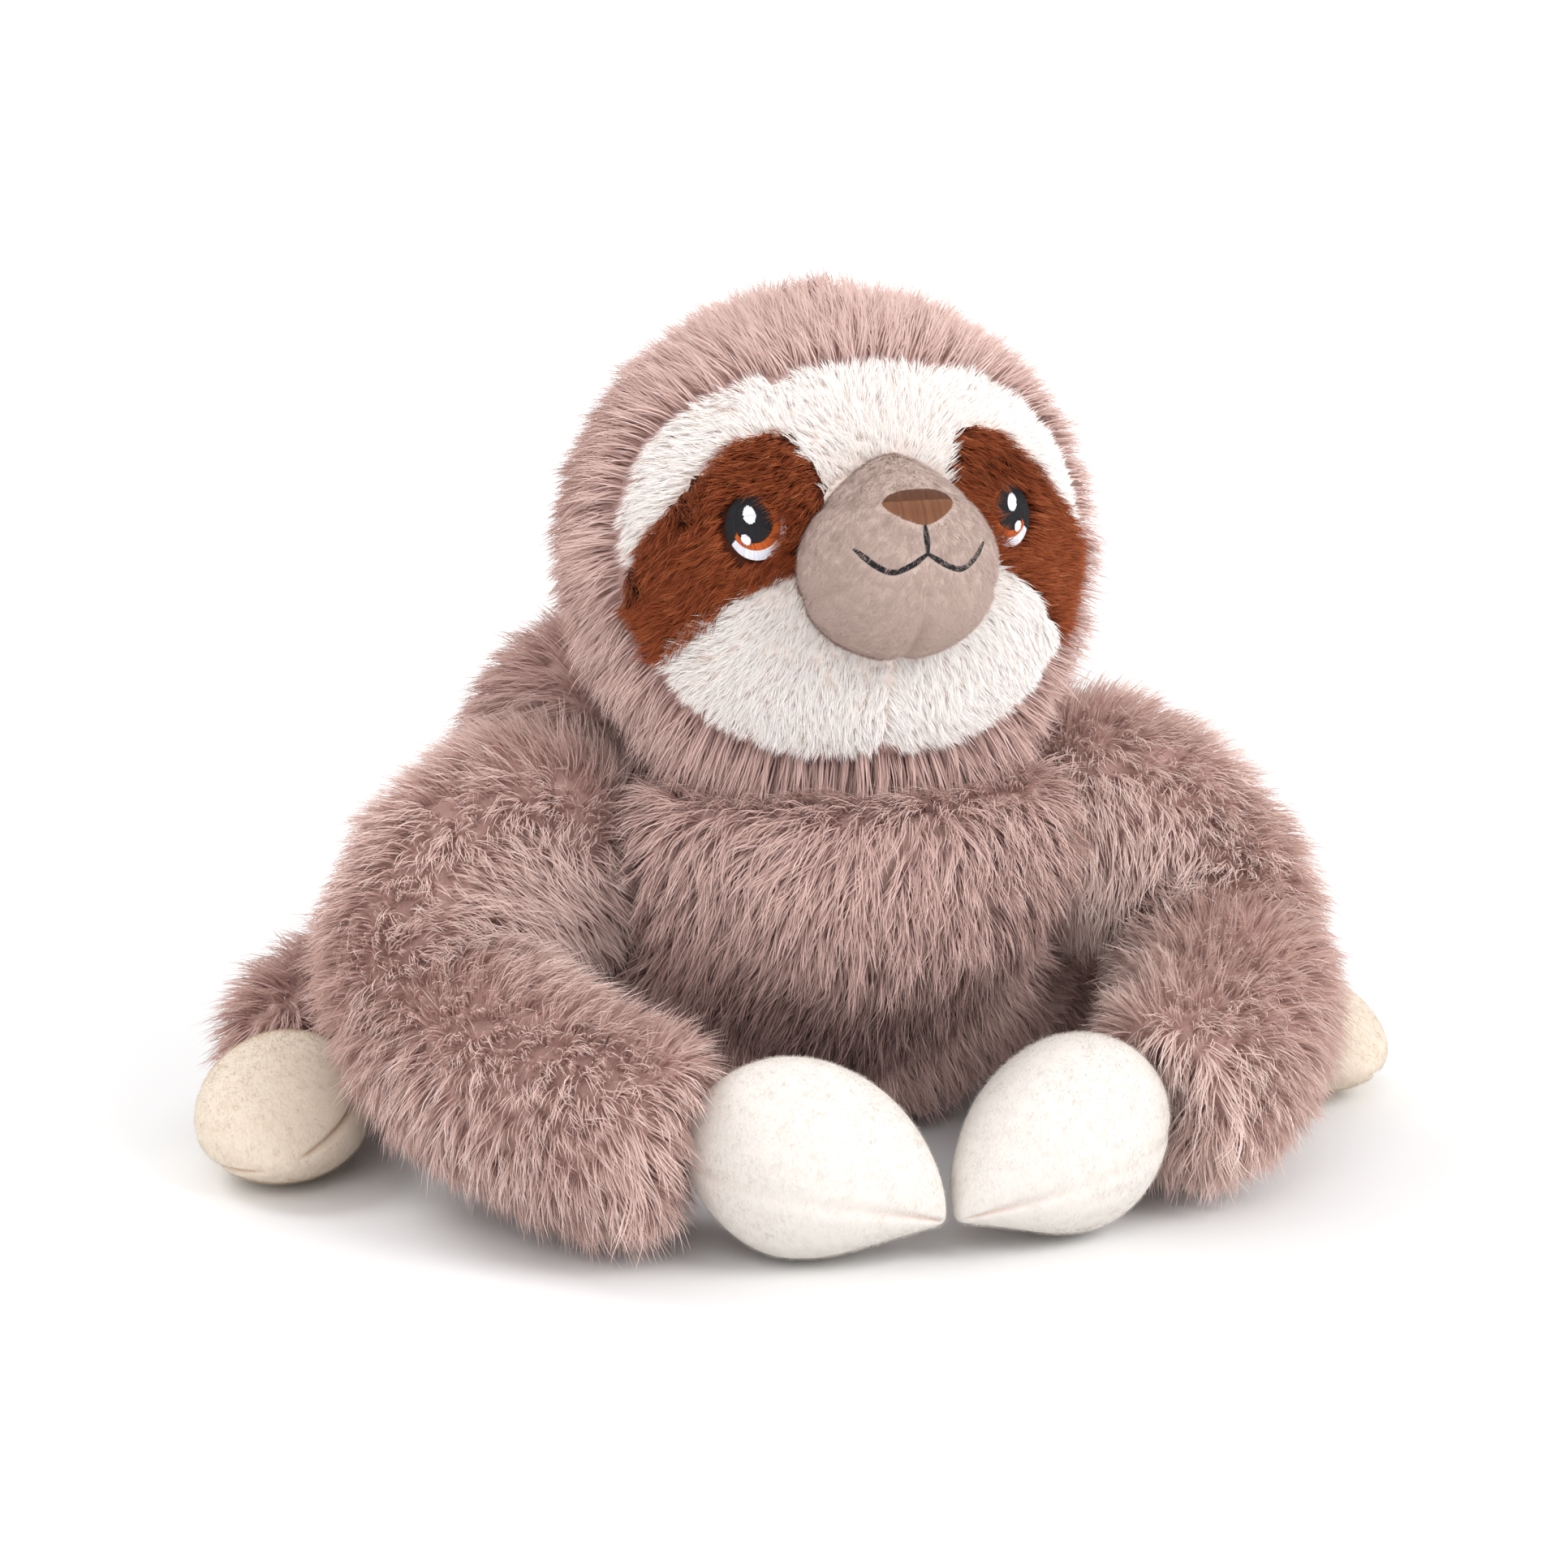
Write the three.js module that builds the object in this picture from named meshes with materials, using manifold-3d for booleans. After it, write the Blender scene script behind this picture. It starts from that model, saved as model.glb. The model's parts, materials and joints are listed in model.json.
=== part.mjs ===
// A long-pile plush sloth that leans on its folded arms, its hind feet beside its elbows.
// Units are millimetres, +Z is up, the face looks towards -Y, and the toy's own left side is +X.
// Depths are measured from the plumb line through the front of the seat, heights from the table.
// The finished group is moved so that the origin lies on the table under the middle of the outline.
import * as THREE from "three";
import { mergeVertices } from "three/addons/utils/BufferGeometryUtils.js";
import Module from "manifold-3d";

const wasm = await Module();
wasm.setup();

// Cloth, pile and clearances
const gap = 0.3; // between neighbouring pieces
const fillGap = 0.8; // between a skin and the filling behind it
const longPile = 9; // knitted back and brushed pile of the brown fur
const shortPile = 3.5; // sheared cream fur of the face
const patchRise = 0.8; // how far the rust patches stand above the cream fur
const minky = 2.2; // smooth velvet of paws and muzzle
const thread = 1.2; // height of the satin stitches
const stitchSink = 1; // how deep the stitches press into the pile
const reach = 320; // half size of a cutter, beyond every piece
const sliverShare = 0.03; // of a piece's volume
const sharpest = 0.5; // least cosine used where an outline turns a corner

// Torso, a bean that rests on its rump and lifts the chest
const torsoBackDepth = 138;
const torsoRumpDepth = 95;
const torsoMiddleDepth = 50;
const torsoChestDepth = 5;
const torsoFrontDepth = -49;
const torsoTailHeight = 58;
const torsoRumpHeight = 62;
const torsoMiddleHeight = 73;
const torsoChestHeight = 86;
const torsoFrontHeight = 82;
const torsoHalfWide = 95;
const torsoHalfTall = 78;
const torsoWideShares = [0.74, 1.01, 1, 0.84, 0.65];
const torsoTallShares = [0.8, 1.02, 1, 0.79, 0.64];
const torsoBlunt = 2.2;
const sideSeamDepth = 24; // where the chest panel meets the back panels
const basePanelThick = 6;

// Pellet pouch that weighs the seat
const pouchHalfWide = 44;
const pouchHalfDeep = 36;
const pouchHalfTall = 24;
const pouchDepth = 80;

// Head ball, tipped back so that the face looks a little upwards
const headDepth = 18;
const headHeight = 159;
const headPitch = 12.5; // degrees
const hoodHalfWide = 71;
const hoodHalfTall = 70;
const hoodHalfDeep = 65;
const faceHalfWide = 66;
const faceHalfTall = 64;
const faceHalfDeep = 54.5;
const crownHalfWide = 21; // half width of the strip over the crown

// Neck, a stuffed ball between the head and a low collar on the shoulders
const neckDepth = 20;
const neckHeight = 112;
const neckRadius = 28;
const neckHoleRadius = 32;
const collarRadius = 26;
const collarHeight = 99;
const neckHoleHeight = 104;
const headClearance = 9; // room for the nod between the hood and the shoulders

// Muzzle, an egg that narrows to the bridge of the nose
const muzzleDrop = 4.5;
const muzzleForward = 55;
const muzzleHalfWide = 24.5;
const muzzleHalfTall = 25;
const muzzleHalfDeep = 25;
const muzzleTaperShare = 0.12;

// Nose and mouth stitches, measured on the muzzle
const noseRise = 11;
const noseHalfWide = 8.8;
const noseHalfTall = 4.6;
const noseBandTall = 2.6;
const mouthHalfWide = 16.4;
const mouthDrop = 4.6;
const mouthStemRise = 6.2;
const mouthStroke = 1.9;

// Eyes, measured on the face
const eyeOut = 32.5;
const eyeRise = 5;
const eyeHalfWide = 6.9;
const eyeHalfTall = 8.3;

// Arms
const shoulderOut = 73;
const shoulderDepth = 32;
const shoulderHeight = 80;
const shoulderRadius = 36;
const upperArmOut = 101;
const upperArmDepth = 23;
const upperArmHeight = 68;
const upperArmRadius = 33;
const elbowOut = 104;
const elbowDepth = 8;
const elbowHeight = 46;
const elbowRadius = 35;
const forearmOut = 86;
const forearmDepth = -40;
const forearmHeight = 36;
const forearmRadius = 31;
const wristOut = 53;
const wristDepth = -67;
const wristHeight = 28;
const cuffRadius = 28;
const armBlunt = 5;
const elbowOverlapShare = 0.45; // share of a sleeve's length that runs on past the elbow
const cuffOverlapShare = 0.3; // share of the last stretch that runs on past the wrist before it is cut
const shoulderShare = 0.94; // the sleeve's girth inside the ball of the shoulder
const armRaise = 40; // degrees that an arm lifts from the table
const swingClearance = 1; // between a sleeve and the body that it swings past
const swingSteps = 4; // places along a swing at which the sleeve is hollowed

// Hands
const wristBallRadius = 21;
const palmOut = 28;
const palmDepth = -81;
const palmHeight = 24.8;
const palmHalfWide = 24;
const palmHalfTall = 25.5;
const handTipOut = 0.8;
const handTipDepth = -88;
const handTipHeight = 24;
const handRootShare = 0.97;
const handTipShare = 0.84;
const handBlunt = 3.8;
const handSeams = [58, 118, 262]; // degrees from the top, towards the front

// Legs
const hipOut = 64;
const hipDepth = 92;
const hipHeight = 32;
const hipRadius = 30;
const kneeOut = 116;
const kneeDepth = 88;
const kneeHeight = 28;
const kneeRadius = 27;
const ankleOut = 134;
const ankleDepth = 60;
const ankleHeight = 23;
const ankleRadius = 22;
const legBlunt = 6;
const legSwing = 30; // degrees that a leg turns outwards
const ankleOverlapShare = 0.25; // share of the last stretch that runs on past the ankle before it is cut

// Feet
const footRootOut = 127;
const footRootDepth = 74;
const soleOut = 139;
const soleDepth = 41;
const soleHeight = 19.5;
const soleHalfWide = 22;
const soleHalfTall = 19;
const toeOut = 146;
const toeDepth = 16;
const toeHeight = 17;
const footRootShare = 0.8;
const footToeShare = 0.84;
const footBlunt = 2.4;
const footSeams = [78, 236];

// Fineness of the surfaces
const headSides = 16;
const headRings = 9;
const muzzleSides = 12;
const muzzleRings = 8;
const bodySides = 16;
const bodyRings = 8;
const limbSides = 10;
const limbRings = 7;
const ballSides = 10;
const ballRings = 6;
const outlineSteps = 1;
const eyeSteps = 5;

// Outlines on the face as shares of its half width and half height, right half from the top down
const faceOutlineShares = [
  [0, 0.68], [0.22, 0.675], [0.5, 0.625], [0.77, 0.48], [0.92, 0.265], [0.965, 0.08], [0.95, -0.18],
  [0.82, -0.42], [0.64, -0.625], [0.4, -0.755], [0.2, -0.81], [0.06, -0.805], [0, -0.765],
];
const patchOutlineShares = [
  [0.24, 0.2], [0.28, 0.34], [0.36, 0.425], [0.5, 0.4], [0.67, 0.265], [0.82, 0.11], [0.94, -0.05],
  [1.1, -0.1], [1.1, -0.31], [0.86, -0.375], [0.71, -0.28], [0.55, -0.17], [0.4, -0.11], [0.27, -0.06],
  [0.22, 0.06],
];
const browLineShares = [[0, 0], [0.3, -0.015], [1.6, -0.3]];
const chinLineShare = -0.74;

// Colours and finishes
const finish = {
  fur: { color: 0xa5877d, roughness: 0.95, metalness: 0 },
  cream: { color: 0xf6e8e0, roughness: 0.95, metalness: 0 },
  rust: { color: 0x7c3a16, roughness: 0.95, metalness: 0 },
  velvet: { color: 0xada095, roughness: 0.85, metalness: 0 },
  paw: { color: 0xf8f0ea, roughness: 0.85, metalness: 0 },
  stuffing: { color: 0xf2f2ee, roughness: 1, metalness: 0 },
  pouch: { color: 0xd9d4cc, roughness: 0.8, metalness: 0 },
  blackThread: { color: 0x1d1a1f, roughness: 0.5, metalness: 0 },
  whiteThread: { color: 0xe4e4f0, roughness: 0.5, metalness: 0 },
  orangeThread: { color: 0xc65a18, roughness: 0.5, metalness: 0 },
  noseThread: { color: 0x8f5a3a, roughness: 0.5, metalness: 0 },
  darkThread: { color: 0x6e3f28, roughness: 0.5, metalness: 0 },
};

// Solids from three.js geometry

function solidOf(geometry) {
  const bare = geometry.clone();
  bare.deleteAttribute("normal");
  bare.deleteAttribute("uv");
  const merged = mergeVertices(bare);
  const vertProperties = new Float32Array(merged.attributes.position.array);
  const triVerts = new Uint32Array(merged.index.array);
  return new wasm.Manifold(new wasm.Mesh({ numProp: 3, vertProperties, triVerts }));
}

// A cut between two curves can leave slivers without volume beside the piece, which go.
function withoutSlivers(solid) {
  const least = sliverShare * solid.volume();
  const bodies = solid.decompose().filter((body) => body.volume() > least);
  return bodies.reduce((sum, body) => sum.add(body));
}

function meshOf(name, cut, material) {
  const solid = withoutSlivers(cut);
  const { vertProperties, triVerts } = solid.getMesh();
  const geometry = new THREE.BufferGeometry();
  geometry.setAttribute("position", new THREE.BufferAttribute(vertProperties, 3));
  geometry.setIndex(new THREE.BufferAttribute(triVerts, 1));
  geometry.computeVertexNormals();
  const mesh = new THREE.Mesh(geometry, new THREE.MeshStandardMaterial(material));
  mesh.name = name;
  return mesh;
}

function ellipsoid(radii, matrix, sides, rings) {
  const geometry = new THREE.SphereGeometry(1, sides, rings);
  geometry.rotateX(Math.PI / 2);
  geometry.scale(radii.x, radii.y, radii.z);
  return solidOf(geometry.applyMatrix4(matrix));
}

function at(x, y, z) {
  return new THREE.Matrix4().makeTranslation(x, y, z);
}

function sphere(radius, [x, y, z]) {
  const radii = new THREE.Vector3(radius, radius, radius);
  return ellipsoid(radii, at(x, y, z), ballSides, ballRings);
}

// A round room whose flat facets all lie outside a ball of the given radius, turned by half a
// facet so that the ball's corners seat against the middles of the facets
function socket(radius, [x, y, z]) {
  const rings = ballRings + 1;
  const inner = Math.cos(Math.PI / ballSides) * Math.cos(Math.PI / (2 * rings));
  const size = (radius + gap) / inner;
  const turned = at(x, y, z).multiply(new THREE.Matrix4().makeRotationZ(Math.PI / ballSides));
  return ellipsoid(new THREE.Vector3(size, size, size), turned, ballSides, rings);
}

// What a limb that turns about an axis must clear of a solid that stands still
function swept(solid, [x, y, z], axis, degrees) {
  const places = Array.from({ length: swingSteps + 1 }, (_, i) => {
    const back = -THREE.MathUtils.degToRad((degrees * i) / swingSteps);
    const turn = at(x, y, z)
      .multiply(new THREE.Matrix4().makeRotationAxis(axis, back))
      .multiply(at(-x, -y, -z));
    return solid.transform(turn.toArray());
  });
  return places.reduce((sum, place) => sum.add(place));
}

function block(low, high) {
  const size = high.map((value, i) => value - low[i]);
  const middle = high.map((value, i) => (value + low[i]) / 2);
  return solidOf(new THREE.BoxGeometry(...size).translate(...middle));
}

// Everything on the side of a point that a direction points to
function halfSpace(point, direction) {
  const turn = new THREE.Quaternion().setFromUnitVectors(
    new THREE.Vector3(0, 0, 1),
    direction.clone().normalize(),
  );
  const geometry = new THREE.BoxGeometry(2 * reach, 2 * reach, 2 * reach);
  geometry.translate(0, 0, reach);
  geometry.applyQuaternion(turn);
  return solidOf(geometry.translate(point.x, point.y, point.z));
}

// A stuffed form: rings along a curve that close to a round end on both sides.
// Its skin lies the given depth under the outer surface.
function stuffed(form, depth) {
  const path = new THREE.CatmullRomCurve3(form.path.map((p) => new THREE.Vector3(...p)));
  const girth = new THREE.CatmullRomCurve3(form.girth.map((g) => new THREE.Vector3(...g, 0)));
  const trim = depth / path.getLength(); // below 0 where the skin lies outside
  const up = new THREE.Vector3(0, 0, 1);
  const points = [];
  const faces = [];
  for (let i = 0; i <= form.rings; i++) {
    const along = -Math.cos((Math.PI * i) / form.rings);
    const ends = i === 0 || i === form.rings;
    const station = ends ? (along > 0 ? 1 - trim : trim) : (1 + along) / 2;
    const sought = depth > 0 ? THREE.MathUtils.clamp(station, trim, 1 - trim) : station;
    const t = THREE.MathUtils.clamp(sought, 0, 1);
    const round = Math.sqrt(1 - Math.abs(along) ** form.blunt);
    const tangent = path.getTangent(t);
    const centre = path.getPoint(t).addScaledVector(tangent, (sought - t) * path.getLength());
    const side = tangent.clone().cross(up).normalize();
    const rise = side.clone().cross(tangent);
    const half = girth.getPoint(t);
    for (let j = 0; j < (ends ? 1 : form.sides); j++) {
      const turn = (2 * Math.PI * j) / form.sides;
      const p = centre.clone();
      if (!ends) {
        p.addScaledVector(side, (half.x - depth) * round * Math.cos(turn));
        p.addScaledVector(rise, (half.y - depth) * round * Math.sin(turn));
      }
      points.push(...p.toArray());
    }
  }
  const first = (ring) => 1 + (ring - 1) * form.sides;
  const last = points.length / 3 - 1;
  for (let j = 0; j < form.sides; j++) {
    const k = (j + 1) % form.sides;
    faces.push(0, first(1) + j, first(1) + k);
    for (let ring = 1; ring < form.rings - 1; ring++) {
      const [a, b] = [first(ring) + j, first(ring) + k];
      const [c, d] = [first(ring + 1) + k, first(ring + 1) + j];
      const inner = Math.cos((Math.PI * (2 * j + 1)) / form.sides) > 0;
      faces.push(...(inner ? [a, d, b, b, d, c] : [a, d, c, a, c, b]));
    }
    faces.push(last, first(form.rings - 1) + k, first(form.rings - 1) + j);
  }
  const geometry = new THREE.BufferGeometry();
  geometry.setAttribute("position", new THREE.Float32BufferAttribute(points, 3));
  geometry.setIndex(faces);
  return solidOf(geometry);
}

// Head frame: x to the toy's left, y up the face, z out of the face

const headFrame = at(0, headDepth, headHeight).multiply(
  new THREE.Matrix4().makeRotationX(Math.PI / 2 - THREE.MathUtils.degToRad(headPitch)),
);

function hoodBall(depth) {
  const radii = new THREE.Vector3(hoodHalfWide - depth, hoodHalfTall - depth, hoodHalfDeep - depth);
  return ellipsoid(radii, headFrame, headSides, headRings);
}

function faceBall(depth) {
  const radii = new THREE.Vector3(faceHalfWide - depth, faceHalfTall - depth, faceHalfDeep - depth);
  return ellipsoid(radii, headFrame, headSides, headRings);
}

function muzzleBall(depth) {
  const geometry = new THREE.SphereGeometry(1, muzzleSides, muzzleRings);
  geometry.rotateX(Math.PI / 2);
  const radii = [muzzleHalfWide - depth, muzzleHalfTall - depth, muzzleHalfDeep - depth];
  const position = geometry.attributes.position;
  for (let i = 0; i < position.count; i++) {
    position.setX(i, position.getX(i) * (1 - muzzleTaperShare * position.getY(i)));
  }
  geometry.scale(...radii);
  geometry.translate(0, -muzzleDrop, muzzleForward);
  return solidOf(geometry.applyMatrix4(headFrame));
}

// Moves every side of a closed outline outwards by an amount
function grown(loop, amount) {
  const turn = THREE.ShapeUtils.area(loop) > 0 ? 1 : -1;
  const outOf = (from, to) => {
    const along = to.clone().sub(from).normalize();
    return new THREE.Vector2(turn * along.y, -turn * along.x);
  };
  return loop.map((p, i) => {
    const first = outOf(loop[(i + loop.length - 1) % loop.length], p);
    const second = outOf(p, loop[(i + 1) % loop.length]);
    const middle = first.clone().add(second).normalize();
    return p.clone().addScaledVector(middle, amount / Math.max(middle.dot(first), sharpest));
  });
}

// A straight column out of the face over a 2-D shape
function column(shape, steps) {
  const settings = { depth: reach, bevelEnabled: false, curveSegments: steps };
  return solidOf(new THREE.ExtrudeGeometry(shape, settings).applyMatrix4(headFrame));
}

// Everything in front of the middle of the muzzle
function frontOfMuzzle() {
  const geometry = new THREE.BoxGeometry(reach, reach, reach);
  return solidOf(geometry.translate(0, 0, muzzleForward + reach / 2).applyMatrix4(headFrame));
}

function curvedColumn(points, grow) {
  const corners = points.map(([x, y]) => new THREE.Vector3(x, y, 0));
  const curve = new THREE.CatmullRomCurve3(corners, true);
  const loop = curve.getPoints(outlineSteps * points.length).slice(0, -1);
  return column(new THREE.Shape(grown(loop.map((p) => new THREE.Vector2(p.x, p.y)), grow)), 1);
}

function straightColumn(points) {
  return column(new THREE.Shape(points.map(([x, y]) => new THREE.Vector2(x, y))), 1);
}

function ovalColumn(x, y, halfWide, halfTall, turn) {
  const shape = new THREE.Shape();
  shape.absellipse(x, y, halfWide, halfTall, 0, 2 * Math.PI, false, turn);
  return column(shape, eyeSteps);
}

// A stroke of even width along a curve
function strokeColumn(points, width) {
  const curve = new THREE.SplineCurve(points.map(([x, y]) => new THREE.Vector2(x, y)));
  const steps = points.length * outlineSteps;
  const sides = [1, -1].map((side) =>
    Array.from({ length: steps + 1 }, (_, i) => {
      const along = curve.getTangent(i / steps);
      const p = curve.getPoint(i / steps);
      return [p.x + (side * along.y * width) / 2, p.y - (side * along.x * width) / 2];
    }),
  );
  return straightColumn([...sides[0], ...sides[1].reverse()]);
}

function onFace(shares, side = 1) {
  return shares.map(([x, y]) => [side * x * faceHalfWide, y * faceHalfTall]);
}

function mirrored(points) {
  return [...points, ...points.slice(1, -1).reverse().map(([x, y]) => [-x, y])];
}

// Stitches over a shape, and the dent that they press into the layer below
function stitches(layer, over) {
  const top = layer(stitchSink - gap - thread);
  return over.intersect(top).subtract(layer(stitchSink - gap));
}

function dent(layer, over) {
  return over.subtract(layer(stitchSink));
}

// Torso

const torsoForm = {
  path: [
    [0, torsoBackDepth, torsoTailHeight],
    [0, torsoRumpDepth, torsoRumpHeight],
    [0, torsoMiddleDepth, torsoMiddleHeight],
    [0, torsoChestDepth, torsoChestHeight],
    [0, torsoFrontDepth, torsoFrontHeight],
  ],
  girth: torsoWideShares.map((share, i) => [share * torsoHalfWide, torsoTallShares[i] * torsoHalfTall]),
  blunt: torsoBlunt,
  sides: bodySides,
  rings: bodyRings,
};

const neckCentre = [0, neckDepth, neckHeight];

function shoulderCentre(side) {
  return [side * shoulderOut, shoulderDepth, shoulderHeight];
}

function hipCentre(side) {
  return [side * hipOut, hipDepth, hipHeight];
}

// Room that the torso leaves for the head, the shoulders and the hips
function jointRoom() {
  const rooms = [hoodBall(-headClearance)];
  for (const side of [1, -1]) {
    rooms.push(socket(shoulderRadius, shoulderCentre(side)));
    rooms.push(socket(hipRadius, hipCentre(side)));
  }
  return rooms.reduce((sum, room) => sum.add(room));
}

function collar() {
  const tall = collarHeight - torsoHalfTall;
  const post = new THREE.CylinderGeometry(collarRadius, collarRadius, tall, limbSides);
  post.rotateX(Math.PI / 2);
  post.translate(0, neckDepth, (collarHeight + torsoHalfTall) / 2);
  return solidOf(post);
}

function torsoPieces() {
  const room = jointRoom();
  const neckRoom = socket(neckRadius, neckCentre);
  const aboveTable = block([-reach, -reach, 0], [reach, reach, reach]);
  const outer = stuffed(torsoForm, 0).intersect(aboveTable).subtract(room);
  const floor = block([-reach, -reach, -reach], [reach, reach, basePanelThick]);
  const aboveFloor = block([-reach, -reach, basePanelThick + gap], [reach, reach, reach]);
  const core = stuffed(torsoForm, longPile);
  const skin = outer.subtract(core).subtract(collar().add(neckRoom)).intersect(aboveFloor);
  const front = block([-reach, -reach, 0], [reach, sideSeamDepth, reach]);
  const behind = sideSeamDepth + gap;
  const backLeft = block([gap / 2, behind, 0], [reach, reach, reach]);
  const backRight = block([-reach, behind, 0], [-gap / 2, reach, reach]);
  const pouchRadii = new THREE.Vector3(pouchHalfWide, pouchHalfDeep, pouchHalfTall);
  const pouchRoom = pouchRadii.clone().addScalar(gap);
  const pouchSeat = at(0, pouchDepth, basePanelThick + gap);
  const pouch = ellipsoid(pouchRadii, pouchSeat, ballSides, ballRings)
    .intersect(stuffed(torsoForm, longPile + fillGap))
    .intersect(aboveFloor);
  const stuffing = stuffed(torsoForm, longPile + fillGap)
    .subtract(room)
    .add(collar())
    .subtract(neckRoom)
    .intersect(aboveFloor)
    .subtract(ellipsoid(pouchRoom, pouchSeat, ballSides, ballRings));
  return [
    meshOf("back_panel_left", skin.intersect(backLeft), finish.fur),
    meshOf("back_panel_right", skin.intersect(backRight), finish.fur),
    meshOf("chest_panel", skin.intersect(front), finish.fur),
    meshOf("base_panel", outer.intersect(floor), finish.fur),
    meshOf("torso_stuffing", stuffing, finish.stuffing),
    meshOf("pellet_pouch", pouch, finish.pouch),
  ];
}

// Head

function neckHole() {
  const hole = new THREE.CylinderGeometry(neckHoleRadius, neckHoleRadius, neckHoleHeight, limbSides);
  hole.rotateX(Math.PI / 2);
  hole.translate(0, neckDepth, neckHoleHeight / 2);
  return solidOf(hole).add(socket(neckRadius, neckCentre));
}

function hoodPieces(hole) {
  const hood = hoodBall(0)
    .subtract(faceBall(shortPile))
    .subtract(curvedColumn(mirrored(onFace(faceOutlineShares)), gap))
    .subtract(hole);
  const overChin = aboveLine(chinLineShare * faceHalfTall);
  const behindFace = block([-reach, headDepth, -reach], [reach, reach, reach]);
  const kept = overChin.add(behindFace);
  const strip = (half) => block([-half, -reach, -reach], [half, reach, reach]).intersect(kept);
  const left = block([gap / 2, -reach, -reach], [reach, reach, reach]);
  const right = block([-reach, -reach, -reach], [-gap / 2, reach, reach]);
  const sides = hood.subtract(strip(crownHalfWide + gap));
  return [
    meshOf("hood_crown", hood.intersect(strip(crownHalfWide)), finish.fur),
    meshOf("hood_left", sides.intersect(left), finish.fur),
    meshOf("hood_right", sides.intersect(right), finish.fur),
  ];
}

function facePieces() {
  const patches = [1, -1].map((side) => onFace(patchOutlineShares, side));
  const clearOfPatches = patches.map((p) => curvedColumn(p, gap)).reduce((sum, p) => sum.add(p));
  const opening = curvedColumn(mirrored(onFace(faceOutlineShares)), 0);
  const cream = faceBall(0)
    .subtract(faceBall(shortPile))
    .intersect(opening)
    .subtract(clearOfPatches)
    .subtract(muzzleBall(-gap));
  const brow = (drop) => {
    const edge = mirroredLine(onFace(browLineShares)).map(([x, y]) => [x, y - drop]);
    return straightColumn([...edge, [reach, reach], [-reach, reach]]);
  };
  const lower = cream.subtract(brow(gap));
  const left = block([gap / 2, -reach, -reach], [reach, reach, reach]);
  const right = block([-reach, -reach, -reach], [-gap / 2, reach, reach]);
  return [
    meshOf("forehead_panel", cream.intersect(brow(0)), finish.cream),
    meshOf("cheek_left", lower.intersect(left), finish.cream),
    meshOf("cheek_right", lower.intersect(right), finish.cream),
    ...[1, -1].flatMap((side, i) => eyePieces(side, patches[i], opening)),
  ];
}

function mirroredLine(points) {
  return [...points.slice(1).reverse().map(([x, y]) => [-x, y]), ...points];
}

// Shares of the eye's half width and half height: x, y, half width, half height
const eyeOvalShares = {
  whole: [0, 0, 1, 1],
  lidEdge: [0.19, -0.15, 0.9, 0.82],
  pupil: [-0.09, 0.14, 0.64, 0.64],
  iris: [0, 0.02, 0.83, 0.75],
  white: [0.03, -0.05, 0.97, 0.95],
  highlight: [-0.22, 0.35, 0.21, 0.27],
  sparkle: [-0.42, -0.4, 0.15, 0.17],
};
const whiteEdgeShares = [[-1.6, -0.86], [1.6, 0.7]]; // the white ends below this line

function eyePieces(side, patch, opening) {
  const name = side > 0 ? "left" : "right";
  const layer = (depth) => faceBall(depth - patchRise);
  const onEye = ([x, y]) => [side * (eyeOut - x * eyeHalfWide), eyeRise + y * eyeHalfTall];
  const oval = (key, grow = 0) => {
    const [x, y, wide, tall] = eyeOvalShares[key];
    const [midX, midY] = onEye([x, y]);
    return ovalColumn(midX, midY, wide * eyeHalfWide + grow, tall * eyeHalfTall + grow, 0);
  };
  const edge = whiteEdgeShares.map(onEye);
  const below = straightColumn([...edge, [edge[1][0], -reach], [edge[0][0], -reach]]);
  const lid = oval("whole").subtract(oval("lidEdge")).subtract(below);
  const lidRoom = oval("whole", gap).subtract(oval("lidEdge", -gap)).subtract(below);
  const dark = lid.add(oval("pupil"));
  const darkRoom = lidRoom.add(oval("pupil", gap));
  const iris = oval("iris").subtract(darkRoom);
  const white = oval("white").intersect(below).subtract(oval("iris", gap)).subtract(darkRoom);
  const lights = oval("highlight", gap).add(oval("sparkle", gap));
  const patchSolid = layer(0)
    .subtract(faceBall(shortPile))
    .intersect(curvedColumn(patch, 0))
    .intersect(opening)
    .subtract(muzzleBall(-gap))
    .subtract(dent(layer, oval("whole", 2 * gap)));
  const sewn = (over) => stitches(layer, over);
  return [
    meshOf("eye_patch_" + name, patchSolid, finish.rust),
    meshOf("eye_lid_and_pupil_" + name, sewn(dark.subtract(lights)), finish.blackThread),
    meshOf("eye_iris_" + name, sewn(iris.subtract(lights)), finish.orangeThread),
    meshOf("eye_white_" + name, sewn(white.subtract(lights)), finish.whiteThread),
    meshOf("eye_highlight_" + name, sewn(oval("highlight")), finish.whiteThread),
    meshOf("eye_sparkle_" + name, sewn(oval("sparkle")), finish.whiteThread),
  ];
}

// Shares of the nose's half width and half height, right half from the top down
const noseOutlineShares = [[0, 1], [0.5, 0.9], [1, 0.25], [0.5, -0.65], [0, -1]];

// Shares of the mouth's half width and drop, from the middle to the corner
const smileShares = [[0, -0.13], [0.25, -0.7], [0.52, -1], [0.76, -0.56], [1, 0.35]];

// Everything above a height on the face
function aboveLine(height) {
  return straightColumn([[-reach, height], [reach, height], [reach, reach], [-reach, reach]]);
}

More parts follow.
